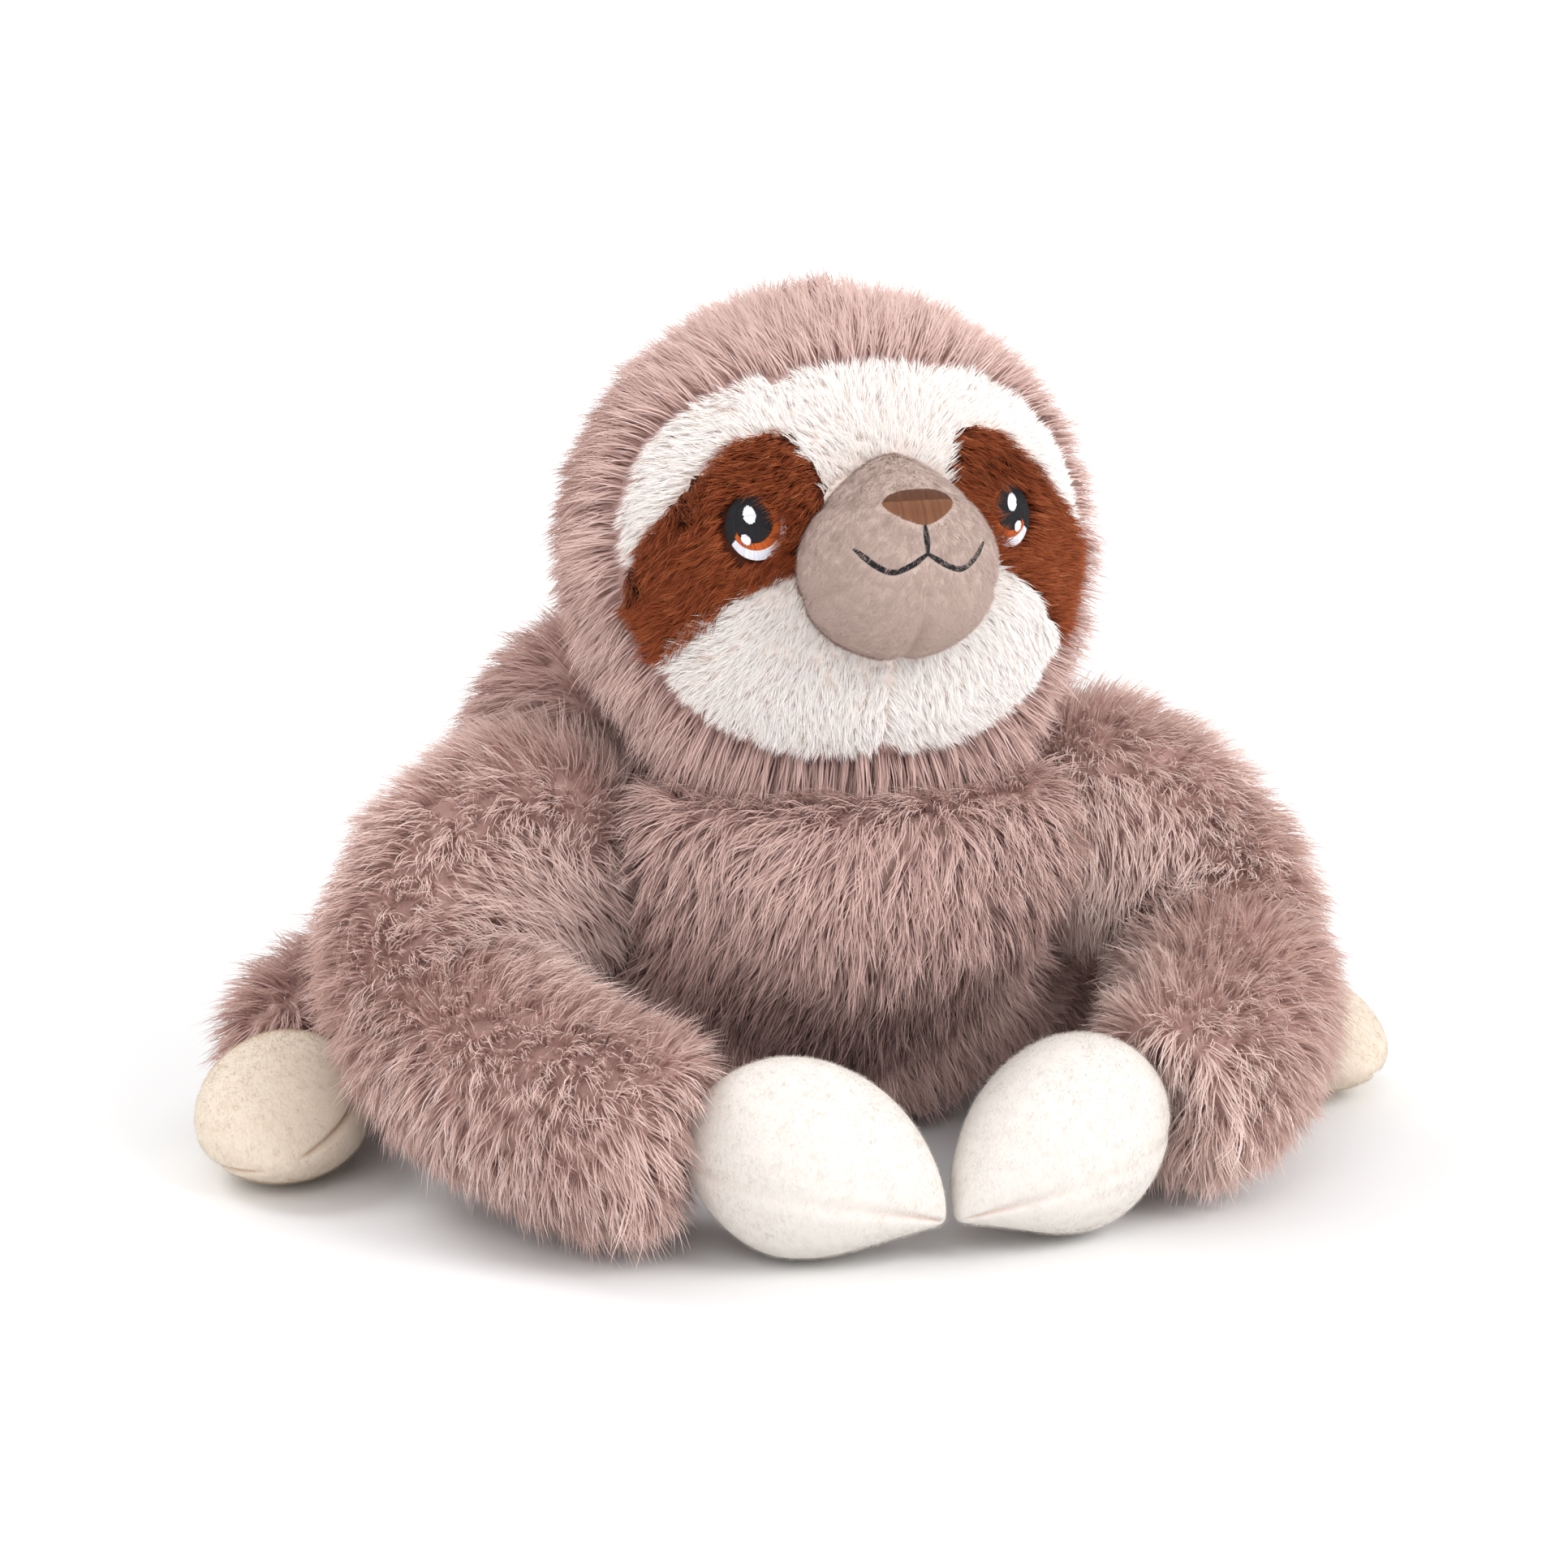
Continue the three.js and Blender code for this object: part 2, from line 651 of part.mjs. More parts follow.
function muzzlePieces() {
  const lift = noseRise - muzzleDrop;
  const nose = mirrored(noseOutlineShares).map(([x, y]) => [x * noseHalfWide, lift + y * noseHalfTall]);
  const top = lift + noseHalfTall - noseBandTall;
  const noseColumn = curvedColumn(nose, 0);
  const smile = (side) =>
    smileShares.map(([x, y]) => [side * x * mouthHalfWide, y * mouthDrop - muzzleDrop]);
  const stem = [[0, mouthStemRise - muzzleDrop], [0, -muzzleDrop - mouthStroke / 2]];
  const mouthOf = (width) =>
    strokeColumn(smile(1), width).add(strokeColumn(smile(-1), width)).add(strokeColumn(stem, width));
  const sewn = (over) => stitches(muzzleBall, over).intersect(frontOfMuzzle());
  const mouth = sewn(mouthOf(mouthStroke)).subtract(curvedColumn(nose, gap));
  const marks = curvedColumn(nose, gap).add(mouthOf(mouthStroke + 2 * gap));
  const dents = dent(muzzleBall, marks).intersect(frontOfMuzzle());
  const cap = muzzleBall(0).subtract(muzzleBall(minky)).subtract(faceBall(shortPile)).subtract(dents);
  const fill = muzzleBall(minky + gap).subtract(faceBall(shortPile));
  const noseSolid = sewn(noseColumn);
  return [
    meshOf("muzzle_cap", cap, finish.velvet),
    meshOf("muzzle_stuffing", fill, finish.stuffing),
    meshOf("nose_band", noseSolid.intersect(aboveLine(top)), finish.darkThread),
    meshOf("nose_satin", noseSolid.subtract(aboveLine(top - gap)), finish.noseThread),
    meshOf("mouth_line", mouth, finish.blackThread),
  ];
}

function headPieces() {
  const hole = neckHole();
  const stuffing = faceBall(shortPile + gap).subtract(hole);
  const neck = sphere(neckRadius, neckCentre);
  return [
    meshOf("neck_stuffing", neck, finish.stuffing),
    meshOf("head_stuffing", stuffing, finish.stuffing),
    ...hoodPieces(hole),
    ...facePieces(),
    ...muzzlePieces(),
  ];
}

// Arms and hands

function armJoints(side) {
  return {
    shoulder: new THREE.Vector3(...shoulderCentre(side)),
    upperArm: new THREE.Vector3(side * upperArmOut, upperArmDepth, upperArmHeight),
    elbow: new THREE.Vector3(side * elbowOut, elbowDepth, elbowHeight),
    forearm: new THREE.Vector3(side * forearmOut, forearmDepth, forearmHeight),
    wrist: new THREE.Vector3(side * wristOut, wristDepth, wristHeight),
  };
}

// Two tapered sleeves that run into each other at the elbow
function armForms(side) {
  const { shoulder, upperArm, elbow, forearm, wrist } = armJoints(side);
  const common = { blunt: armBlunt, sides: limbSides, rings: limbRings };
  const below = elbow.clone().lerp(upperArm, -elbowOverlapShare);
  const behind = elbow.clone().lerp(forearm, -elbowOverlapShare);
  const beyond = wrist.clone().lerp(forearm, -cuffOverlapShare);
  const upper = {
    path: [shoulder.toArray(), upperArm.toArray(), below.toArray()],
    girth: [shoulderShare * shoulderRadius, upperArmRadius, elbowRadius].map((r) => [r, r]),
  };
  const lower = {
    path: [behind.toArray(), forearm.toArray(), beyond.toArray()],
    girth: [elbowRadius, forearmRadius, cuffRadius].map((r) => [r, r]),
  };
  return [{ ...common, ...upper }, { ...common, ...lower }];
}

function handForm(side) {
  return {
    path: [
      [side * wristOut, wristDepth, wristHeight],
      [side * palmOut, palmDepth, palmHeight],
      [side * handTipOut, handTipDepth, handTipHeight],
    ],
    girth: [handRootShare, 1, handTipShare].map((share) => [share * palmHalfWide, share * palmHalfTall]),
    blunt: handBlunt,
    sides: limbSides,
    rings: limbRings,
  };
}

// Wedges around the line from one point to another, one for each stretch between two seams
function wedges(from, to, seams, side) {
  const axis = to.clone().sub(from).normalize();
  const up = new THREE.Vector3(0, 0, 1);
  const rise = up.addScaledVector(axis, -axis.z).normalize();
  const front = rise.clone().cross(axis).multiplyScalar(side);
  const ray = (degrees) => {
    const turn = THREE.MathUtils.degToRad(degrees);
    return rise.clone().multiplyScalar(Math.cos(turn)).addScaledVector(front, Math.sin(turn));
  };
  return seams.map((start, i) => {
    const stop = seams[(i + 1) % seams.length] + (i + 1 === seams.length ? 360 : 0);
    const along = (degrees, offset) => {
      const normal = ray(degrees + 90);
      return halfSpace(from.clone().addScaledVector(normal, offset), normal);
    };
    const afterStart = along(start, gap / 2);
    const afterStop = along(stop, -gap / 2);
    return stop - start < 180 ? afterStart.subtract(afterStop) : afterStart.add(beforeOf(afterStop));
  });
}

function beforeOf(solid) {
  return block([-reach, -reach, -reach], [reach, reach, reach]).subtract(solid);
}

function armPieces(side) {
  const name = side > 0 ? "left" : "right";
  const { shoulder, elbow, forearm, wrist } = armJoints(side);
  const [upperForm, lowerForm] = armForms(side);
  const towards = new THREE.Vector3(side * palmOut, palmDepth, palmHeight).sub(wrist).normalize();
  const beyondCuff = halfSpace(wrist, wrist.clone().sub(forearm).normalize().add(towards));
  const wristRoom = socket(wristBallRadius, wrist.toArray());
  const ball = (depth) => sphere(shoulderRadius - depth, shoulder.toArray());
  const raising = new THREE.Vector3(-1, 0, 0);
  const passed = swept(stuffed(torsoForm, -swingClearance), shoulder.toArray(), raising, armRaise);
  const torsoRoom = passed.subtract(ball(0));
  const core = (depth) => stuffed(upperForm, depth).add(stuffed(lowerForm, depth)).add(ball(depth));
  const arm = (depth) => core(depth).subtract(beyondCuff).subtract(wristRoom).subtract(torsoRoom);
  const sleeve = arm(0).subtract(core(longPile));
  const along = forearm.clone().sub(shoulder).normalize();
  const lower = halfSpace(elbow, along);
  const lowerRoom = halfSpace(elbow.clone().addScaledVector(along, -gap), along);
  return [
    meshOf("upper_arm_" + name, sleeve.subtract(lowerRoom), finish.fur),
    meshOf("forearm_" + name, sleeve.intersect(lower), finish.fur),
    meshOf("arm_stuffing_" + name, arm(longPile + fillGap), finish.stuffing),
  ];
}

function handPieces(side) {
  const name = side > 0 ? "left" : "right";
  const form = handForm(side);
  const root = (depth) => sphere(wristBallRadius - depth, form.path[0]);
  const hand = (depth) => stuffed(form, depth).add(root(depth));
  const shell = hand(0).subtract(hand(minky));
  const [from, to] = [new THREE.Vector3(...form.path[0]), new THREE.Vector3(...form.path[2])];
  const parts = wedges(from, to, handSeams, side);
  return [
    meshOf("hand_front_" + name, shell.intersect(parts[0]), finish.paw),
    meshOf("hand_under_" + name, shell.intersect(parts[1]), finish.paw),
    meshOf("hand_top_" + name, shell.intersect(parts[2]), finish.paw),
    meshOf("hand_stuffing_" + name, hand(minky + fillGap), finish.stuffing),
  ];
}

// Legs and feet

function ankleCentre(side) {
  return new THREE.Vector3(side * ankleOut, ankleDepth, ankleHeight);
}

function legForm(side) {
  const knee = new THREE.Vector3(side * kneeOut, kneeDepth, kneeHeight);
  const beyond = ankleCentre(side).lerp(knee, -ankleOverlapShare);
  return {
    path: [hipCentre(side), knee.toArray(), beyond.toArray()],
    girth: [hipRadius, kneeRadius, ankleRadius].map((r) => [r, r]),
    blunt: legBlunt,
    sides: limbSides,
    rings: limbRings,
  };
}

function footForm(side) {
  return {
    path: [
      [side * footRootOut, footRootDepth, ankleHeight],
      [side * soleOut, soleDepth, soleHeight],
      [side * toeOut, toeDepth, toeHeight],
    ],
    girth: [footRootShare, 1, footToeShare].map((share) => [share * soleHalfWide, share * soleHalfTall]),
    blunt: footBlunt,
    sides: limbSides,
    rings: limbRings,
  };
}

function legPieces(side) {
  const name = side > 0 ? "left" : "right";
  const form = legForm(side);
  const centre = hipCentre(side);
  const foot = footForm(side);
  const ankle = ankleCentre(side);
  const toes = new THREE.Vector3(...foot.path[2]);
  const beyondAnkle = halfSpace(ankle, toes.clone().sub(ankle));
  const ball = (depth) => sphere(hipRadius - depth, centre);
  const outwards = new THREE.Vector3(0, 0, side);
  const passed = swept(stuffed(torsoForm, -swingClearance), centre, outwards, legSwing);
  const torsoRoom = passed.subtract(ball(0));
  const clear = (solid) => solid.subtract(beyondAnkle).subtract(torsoRoom).subtract(stuffed(foot, -gap));
  const leg = (depth) => clear(stuffed(form, depth).add(ball(depth)));
  const sleeve = leg(0).subtract(stuffed(form, longPile).add(ball(longPile)));
  const shell = stuffed(foot, 0).subtract(stuffed(foot, minky));
  const root = new THREE.Vector3(...foot.path[0]);
  const parts = wedges(root, toes, footSeams, side);
  return [
    meshOf("leg_" + name, sleeve, finish.fur),
    meshOf("leg_stuffing_" + name, leg(longPile + fillGap), finish.stuffing),
    meshOf("foot_under_" + name, shell.intersect(parts[0]), finish.paw),
    meshOf("foot_top_" + name, shell.intersect(parts[1]), finish.paw),
    meshOf("foot_stuffing_" + name, stuffed(foot, minky + fillGap), finish.stuffing),
  ];
}

const group = new THREE.Group();
group.name = "plush_sloth";
group.add(...torsoPieces());
group.add(...headPieces());
for (const side of [1, -1]) {
  group.add(...armPieces(side));
  group.add(...handPieces(side));
  group.add(...legPieces(side));
}
const outline = new THREE.Box3().setFromObject(group);
group.position.y = -(outline.min.y + outline.max.y) / 2;

export default group;
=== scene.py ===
import json
import math

import bpy
import numpy as np
from mathutils import Matrix, Vector
from mathutils.bvhtree import BVHTree


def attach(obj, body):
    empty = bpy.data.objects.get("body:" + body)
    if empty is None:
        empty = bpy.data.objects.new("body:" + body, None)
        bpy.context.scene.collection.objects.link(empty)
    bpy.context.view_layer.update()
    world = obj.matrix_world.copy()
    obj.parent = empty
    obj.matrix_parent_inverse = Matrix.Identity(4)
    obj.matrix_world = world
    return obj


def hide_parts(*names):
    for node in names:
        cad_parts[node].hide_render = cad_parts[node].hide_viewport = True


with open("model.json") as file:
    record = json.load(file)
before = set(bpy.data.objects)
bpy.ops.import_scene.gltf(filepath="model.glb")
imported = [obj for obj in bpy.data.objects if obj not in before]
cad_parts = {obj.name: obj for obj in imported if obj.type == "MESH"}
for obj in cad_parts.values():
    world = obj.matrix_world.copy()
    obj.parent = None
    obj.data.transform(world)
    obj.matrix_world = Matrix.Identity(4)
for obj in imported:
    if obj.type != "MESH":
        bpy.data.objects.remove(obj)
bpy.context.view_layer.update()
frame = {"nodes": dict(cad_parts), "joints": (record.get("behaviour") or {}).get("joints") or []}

# Places are in millimetres from the plumb line through the front of the seat, like the part's own sizes
mm = 0.001
jointAt = {joint["name"]: Vector(joint["pos_m"]) for joint in frame["joints"]}
neckDepth = 20
plumbLine = jointAt["head_turn"].y - neckDepth * mm
random = np.random.default_rng(11)
sides = {"left": 1, "right": -1}
shoulders = {name: np.array(jointAt["arm_raise_" + name]) for name in sides}
wrists = {name: np.array(jointAt["hand_flex_" + name]) for name in sides}
hips = {name: np.array(jointAt["leg_swing_" + name]) for name in sides}


def place(x, y, z):
    return Vector((x * mm, y * mm + plumbLine, z * mm))


# Numbers in and out of meshes

def pointsOf(mesh):
    found = np.empty(len(mesh.vertices) * 3, np.float32)
    mesh.vertices.foreach_get("co", found)
    return found.reshape(-1, 3).astype(float)


def putPoints(mesh, points):
    mesh.vertices.foreach_set("co", np.asarray(points, np.float32).ravel())
    mesh.update()


def trianglesOf(mesh):
    mesh.calc_loop_triangles()
    corners = np.empty(len(mesh.loop_triangles) * 3, np.int32)
    mesh.loop_triangles.foreach_get("vertices", corners)
    return corners.reshape(-1, 3)


def normalsOf(mesh):
    found = np.empty(len(mesh.vertices) * 3, np.float32)
    mesh.vertices.foreach_get("normal", found)
    return found.reshape(-1, 3).astype(float)


def unit(vectors):
    return vectors / np.maximum(np.linalg.norm(vectors, axis=-1, keepdims=True), 1e-12)


def only(piece):
    bpy.ops.object.select_all(action="DESELECT")
    piece.select_set(True)
    bpy.context.view_layer.objects.active = piece
    return piece


def addModifier(piece, kind, **settings):
    only(piece)
    modifier = piece.modifiers.new(kind.title(), kind)
    for key, value in settings.items():
        setattr(modifier, key, value)
    bpy.ops.object.modifier_apply(modifier=modifier.name)


def meshPiece(name, points, corners, counts, uv, material):
    mesh = bpy.data.meshes.new(name)
    mesh.vertices.add(len(points))
    mesh.vertices.foreach_set("co", np.asarray(points, np.float32).ravel())
    mesh.loops.add(len(corners))
    mesh.loops.foreach_set("vertex_index", np.asarray(corners, np.int32))
    mesh.polygons.add(len(counts))
    starts = np.concatenate(([0], np.cumsum(counts)[:-1]))
    mesh.polygons.foreach_set("loop_start", starts.astype(np.int32))
    mesh.polygons.foreach_set("use_smooth", np.ones(len(counts), bool))
    layer = mesh.uv_layers.new(name="OFBake")
    layer.uv.foreach_set("vector", np.asarray(uv, np.float32).ravel())
    mesh.update(calc_edges=True)
    mesh.validate()
    mesh.materials.append(material)
    piece = bpy.data.objects.new(name, mesh)
    bpy.context.scene.collection.objects.link(piece)
    return piece


# Shader maths on sockets

class Signal:
    def __init__(self, tree, socket):
        self.tree = tree
        self.socket = socket

    def math(self, operation, first, second=0.0):
        node = self.tree.nodes.new("ShaderNodeMath")
        node.operation = operation
        plug(self.tree, node.inputs[0], first)
        plug(self.tree, node.inputs[1], second)
        return Signal(self.tree, node.outputs[0])

    def __add__(self, other):
        return self.math("ADD", self, other)

    def __sub__(self, other):
        return self.math("SUBTRACT", self, other)

    def __rsub__(self, other):
        return self.math("SUBTRACT", other, self)

    def __mul__(self, other):
        return self.math("MULTIPLY", self, other)

    def __pow__(self, other):
        return self.math("POWER", self, other)

    __radd__ = __add__
    __rmul__ = __mul__


def plug(tree, socket, value):
    if isinstance(value, Signal):
        tree.links.new(value.socket, socket)
    elif isinstance(value, tuple) and len(value) == 3 and socket.type == "RGBA":
        socket.default_value = (*value, 1)
    else:
        socket.default_value = value


def linear(red, green, blue):
    def one(share):
        share = share / 255
        return share / 12.92 if share <= 0.04045 else ((share + 0.055) / 1.055) ** 2.4

    return (one(red), one(green), one(blue))


class Finish:
    def __init__(self, name):
        self.material = bpy.data.materials.new(name)
        self.material.use_nodes = True
        self.tree = self.material.node_tree
        self.shader = self.tree.nodes["Principled BSDF"]

    def node(self, kind, settings, sockets, out=0):
        made = self.tree.nodes.new("ShaderNode" + kind)
        for key, value in settings.items():
            setattr(made, key, value)
        for key, value in sockets.items():
            plug(self.tree, made.inputs[key], value)
        return Signal(self.tree, made.outputs[out])

    def ramp(self, factor, stops):
        made = self.tree.nodes.new("ShaderNodeValToRGB")
        elements = made.color_ramp.elements
        while len(elements) < len(stops):
            elements.new(0.5)
        for element, (position, colour) in zip(elements, stops):
            element.position = position
            element.color = (*colour, 1)
        plug(self.tree, made.inputs[0], factor)
        return Signal(self.tree, made.outputs[0])

    def mix(self, factor, first, second, blend="MIX"):
        made = self.tree.nodes.new("ShaderNodeMix")
        made.data_type = "RGBA"
        made.blend_type = blend
        plug(self.tree, made.inputs[0], factor)
        plug(self.tree, made.inputs[6], first)
        plug(self.tree, made.inputs[7], second)
        return Signal(self.tree, made.outputs[2])

    def noise(self, scale, detail=2.0, roughness=0.5):
        where = self.node("TexCoord", {}, {}, "Object")
        return self.node("TexNoise", {}, {"Vector": where, "Scale": scale, "Detail": detail,
                                          "Roughness": roughness}, 0)

    def bump(self, height, distance, strength=1.0):
        sockets = {"Strength": strength, "Distance": distance, "Height": height}
        self.put("Normal", self.node("Bump", {}, sockets, 0))

    def put(self, socket, value):
        plug(self.tree, self.shader.inputs[socket], value)


# Finishes

def pileFinish(name, look):
    made = Finish(name)
    where = made.node("UVMap", {"uv_map": "OFBake"}, {}, 0)
    split = made.node("SeparateXYZ", {}, {"Vector": where}, "X")
    tone = split
    along = Signal(made.tree, split.socket.node.outputs["Y"])
    tip = made.ramp(tone, look["tips"])
    root = made.ramp(tone, look["roots"])
    made.put("Base Color", made.mix(along ** look["fade"], root, tip))
    made.put("Roughness", look["roughness"])
    made.put("Specular IOR Level", look["gloss"])
    made.put("Sheen Weight", look["sheen"])
    made.put("Sheen Roughness", 0.4)
    made.put("Sheen Tint", (*look["sheenTint"], 1))
    return made.material


def backingFinish(name, colour, dark):
    made = Finish(name)
    where = made.node("TexCoord", {}, {}, "Object")
    loops = made.node("TexVoronoi", {"feature": "F1"}, {"Vector": where, "Scale": 700.0}, "Distance")
    patches = made.noise(60.0, 3.0)
    made.put("Base Color", made.mix(patches, dark, colour))
    made.put("Roughness", 0.95)
    made.bump(loops, 0.0006, 0.6)
    return made.material


def velvetFinish(name, look):
    made = Finish(name)
    cloud = made.noise(look["cloud"], 4.0, 0.55)
    pile = made.noise(look["pile"], 5.0, 0.7)
    fine = made.noise(look["pile"] * 3.1, 2.0, 0.6)
    seam = made.node("Attribute", {"attribute_name": "seam"}, {}, "Fac")
    shade = made.ramp(cloud * 0.55 + pile * 0.45, look["tones"])
    # the seam mask mixes in a darker colour along seams and darts: painted shade in the grooves
    made.put("Base Color", made.mix(seam * look["seamShadowShare"], shade, look["seamShadowColour"]))
    made.put("Roughness", 0.9)
    made.put("Sheen Weight", look["sheen"])
    made.put("Sheen Roughness", 0.35)
    made.put("Specular IOR Level", 0.25)
    made.bump(pile * 0.7 + fine * 0.3, look["depth"], look["strength"])
    return made.material


def threadFinish(name, dark, light):
    made = Finish(name)
    where = made.node("UVMap", {"uv_map": "OFBake"}, {}, 0)
    tone = made.node("SeparateXYZ", {}, {"Vector": where}, "X")
    along = Signal(made.tree, tone.socket.node.outputs["Y"])
    made.put("Base Color", made.mix(tone, dark, light))
    made.put("Roughness", 0.55 - along * 0.08)
    made.put("Specular IOR Level", 0.35)
    twist = made.node("TexWave", {"wave_type": "BANDS", "bands_direction": "DIAGONAL"},
                      {"Scale": 900.0, "Distortion": 1.0}, "Fac")
    made.bump(twist, 0.00006, 0.5)
    return made.material


def fillingFinish(name, colour, dark):
    made = Finish(name)
    fibres = made.noise(420.0, 6.0, 0.75)
    tufts = made.noise(70.0, 3.0)
    made.put("Base Color", made.mix(fibres * 0.6 + tufts * 0.4, dark, colour))
    made.put("Roughness", 1.0)
    made.bump(fibres, 0.0015, 0.8)
    return made.material


# the darkest stops are reached where the painted shade under the chest lowers the tone; the rest is the fur's own
# two-tone colour
furLook = {
    "tips": [(0.0, linear(104, 82, 80)), (0.25, linear(206, 173, 165)), (0.6, linear(228, 200, 192)),
             (1.0, linear(246, 226, 218))],
    "roots": [(0.0, linear(92, 70, 68)), (0.25, linear(182, 148, 142)), (0.6, linear(208, 175, 168)),
              (1.0, linear(232, 202, 195))],
    "fade": 0.8, "roughness": 0.9, "gloss": 0.08, "sheen": 0.15, "sheenTint": linear(250, 234, 228),
}
creamLook = {
    "tips": [(0.0, linear(254, 245, 240)), (0.5, linear(255, 251, 248)), (1.0, linear(255, 254, 253))],
    "roots": [(0.0, linear(255, 240, 232)), (1.0, linear(255, 247, 242))],
    "fade": 0.6, "roughness": 0.9, "gloss": 0.08, "sheen": 0.1, "sheenTint": linear(255, 248, 242),
}
pawPileLook = dict(creamLook)
pawPileLook["tips"] = [(0.0, linear(226, 220, 213)), (0.5, linear(230, 224, 218)), (1.0, linear(234, 229, 223))]
pawPileLook["roots"] = [(0.0, linear(226, 220, 213)), (1.0, linear(230, 224, 218))]
footPileLook = dict(creamLook)
footPileLook["tips"] = [(0.0, linear(222, 208, 190)), (0.5, linear(228, 214, 197)), (1.0, linear(233, 221, 206))]
footPileLook["roots"] = [(0.0, linear(222, 208, 190)), (1.0, linear(228, 214, 197))]
rustLook = {
    "tips": [(0.0, linear(96, 38, 16)), (0.45, linear(160, 78, 42)), (0.8, linear(196, 114, 70)),
             (1.0, linear(226, 160, 116))],
    "roots": [(0.0, linear(66, 24, 10)), (1.0, linear(140, 62, 30))],
    "fade": 0.8, "roughness": 0.75, "gloss": 0.2, "sheen": 0.08, "sheenTint": linear(235, 180, 135),
}
# each velvet's seam colour is painted shade in its seam grooves
muzzleLook = {
    "tones": [(0.3, linear(182, 160, 151)), (0.5, linear(188, 166, 157)), (0.7, linear(193, 171, 162))],
    "cloud": 120.0, "pile": 1500.0, "depth": 0.0002, "strength": 0.2, "sheen": 0.2,
    "seamShadowShare": 0.6, "seamShadowColour": linear(136, 114, 105),
}
muzzlePileLook = {
    "tips": [(0.0, linear(160, 138, 128)), (0.5, linear(194, 172, 163)), (1.0, linear(218, 198, 189))],
    "roots": [(0.0, linear(164, 142, 132)), (1.0, linear(194, 172, 163))],
    "fade": 0.6, "roughness": 0.9, "gloss": 0.1, "sheen": 0.15, "sheenTint": linear(240, 228, 220),
}
pawLook = {
    "tones": [(0.2, linear(226, 220, 213)), (0.5, linear(230, 224, 218)), (0.8, linear(233, 228, 222))],
    "cloud": 60.0, "pile": 1500.0, "depth": 0.0002, "strength": 0.12, "sheen": 0.1,
    "seamShadowShare": 0.9, "seamShadowColour": linear(202, 166, 150),
}
footLook = dict(pawLook)
footLook["tones"] = [(0.2, linear(222, 208, 190)), (0.5, linear(228, 214, 197)), (0.8, linear(232, 219, 203))]
footLook["seamShadowColour"] = linear(184, 152, 122)

finishes = {
    "fur": pileFinish("long_fur", furLook),
    "cream": pileFinish("cream_plush", creamLook),
    "rust": pileFinish("rust_plush", rustLook),
    "pawPile": pileFinish("paw_pile", pawPileLook),
    "muzzlePile": pileFinish("muzzle_pile", muzzlePileLook),
    "footPile": pileFinish("foot_pile", footPileLook),
    "furBacking": backingFinish("fur_backing", linear(196, 162, 155), linear(164, 132, 126)),
    "creamBacking": backingFinish("cream_backing", linear(254, 242, 235), linear(246, 228, 219)),
    "rustBacking": backingFinish("rust_backing", linear(96, 42, 16), linear(50, 20, 8)),
    "muzzle": velvetFinish("muzzle_velvet", muzzleLook),
    "paw": velvetFinish("paw_velvet", pawLook),
    "foot": velvetFinish("foot_velvet", footLook),
    "black": threadFinish("black_thread", linear(10, 9, 12), linear(30, 27, 34)),
    "white": threadFinish("white_thread", linear(206, 206, 222), linear(250, 250, 255)),
    "orange": threadFinish("orange_thread", linear(168, 66, 14), linear(222, 112, 40)),
    "nose": threadFinish("nose_thread", linear(108, 66, 43), linear(148, 97, 66)),
    "noseBand": threadFinish("nose_band_thread", linear(80, 46, 30), linear(112, 68, 45)),
    "filling": fillingFinish("fibre_filling", linear(244, 244, 240), linear(214, 214, 210)),
    "pouch": fillingFinish("pellet_pouch_cloth", linear(222, 216, 206), linear(180, 172, 160)),
}
print("finishes ready")

pouch = frame["nodes"]["pellet_pouch"]
pouch.data.materials.clear()
pouch.data.materials.append(finishes["pouch"])


# Skins of the filled forms

def keepFilling(nodeName, skin, body, depth=1.0):
    # the filling lies just inside the form that the skin is pulled over
    piece = skin.copy()
    piece.data = skin.data.copy()
    piece.name = nodeName.replace("stuffing", "filling")
    bpy.context.scene.collection.objects.link(piece)
    piece.data.materials.clear()
    piece.data.materials.append(finishes["filling"])
    addModifier(piece, "DISPLACE", strength=-depth * mm, mid_level=0.0)
    bpy.ops.object.shade_smooth()
    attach(piece, body)
    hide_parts(nodeName)


def softForm(name, nodeName, look):
    piece = frame["nodes"][nodeName].copy()
    piece.data = piece.data.copy()
    piece.name = name
    piece.parent = None
    for key in list(piece.keys()):
        del piece[key]
    bpy.context.scene.collection.objects.link(piece)
    piece.data.materials.clear()
    addModifier(piece, "REMESH", mode="VOXEL", voxel_size=look["voxel"] * mm)
    addModifier(piece, "SMOOTH", factor=0.5, iterations=look["smooth"])
    if "shape" in look:
        putPoints(piece.data, look["shape"](pointsOf(piece.data), normalsOf(piece.data)))
    if look["body"]:
        keepFilling(nodeName, piece, look["body"])
    addModifier(piece, "DISPLACE", strength=look["swell"] * mm, mid_level=0.0)
    return piece


def inflate(piece, pressure, most, pins=None):
    rest = pointsOf(piece.data)
    cloth = piece.modifiers.new("Filling", "CLOTH")
    settings = cloth.settings
    settings.quality = 5
    settings.mass = 0.2
    settings.tension_stiffness = 12
    settings.bending_stiffness = 0.6
    settings.use_pressure = True
    settings.uniform_pressure_force = pressure
    settings.effector_weights.gravity = 0
    if pins is not None:
        group = piece.vertex_groups.new(name="seams")
        group.add([int(i) for i in np.flatnonzero(pins)], 1.0, "REPLACE")
        settings.vertex_group_mass = "seams"
    for number in range(1, 21):
        bpy.context.scene.frame_set(number)
    evaluated = piece.evaluated_get(bpy.context.evaluated_depsgraph_get())
    moved = pointsOf(evaluated.data) - rest
    piece.modifiers.remove(cloth)
    bpy.context.scene.frame_set(1)
    length = np.linalg.norm(moved, axis=1, keepdims=True)
    capped = moved * np.minimum(1, most * mm / np.maximum(length, 1e-9))
    putPoints(piece.data, rest + np.nan_to_num(capped))


def finishSkin(piece, body, replaced, levels=1):
    addModifier(piece, "SUBSURF", levels=levels, render_levels=levels)
    only(piece)
    bpy.ops.object.shade_smooth()
    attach(piece, body)
    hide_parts(*replaced)
    return piece


# Pile

skins = {}


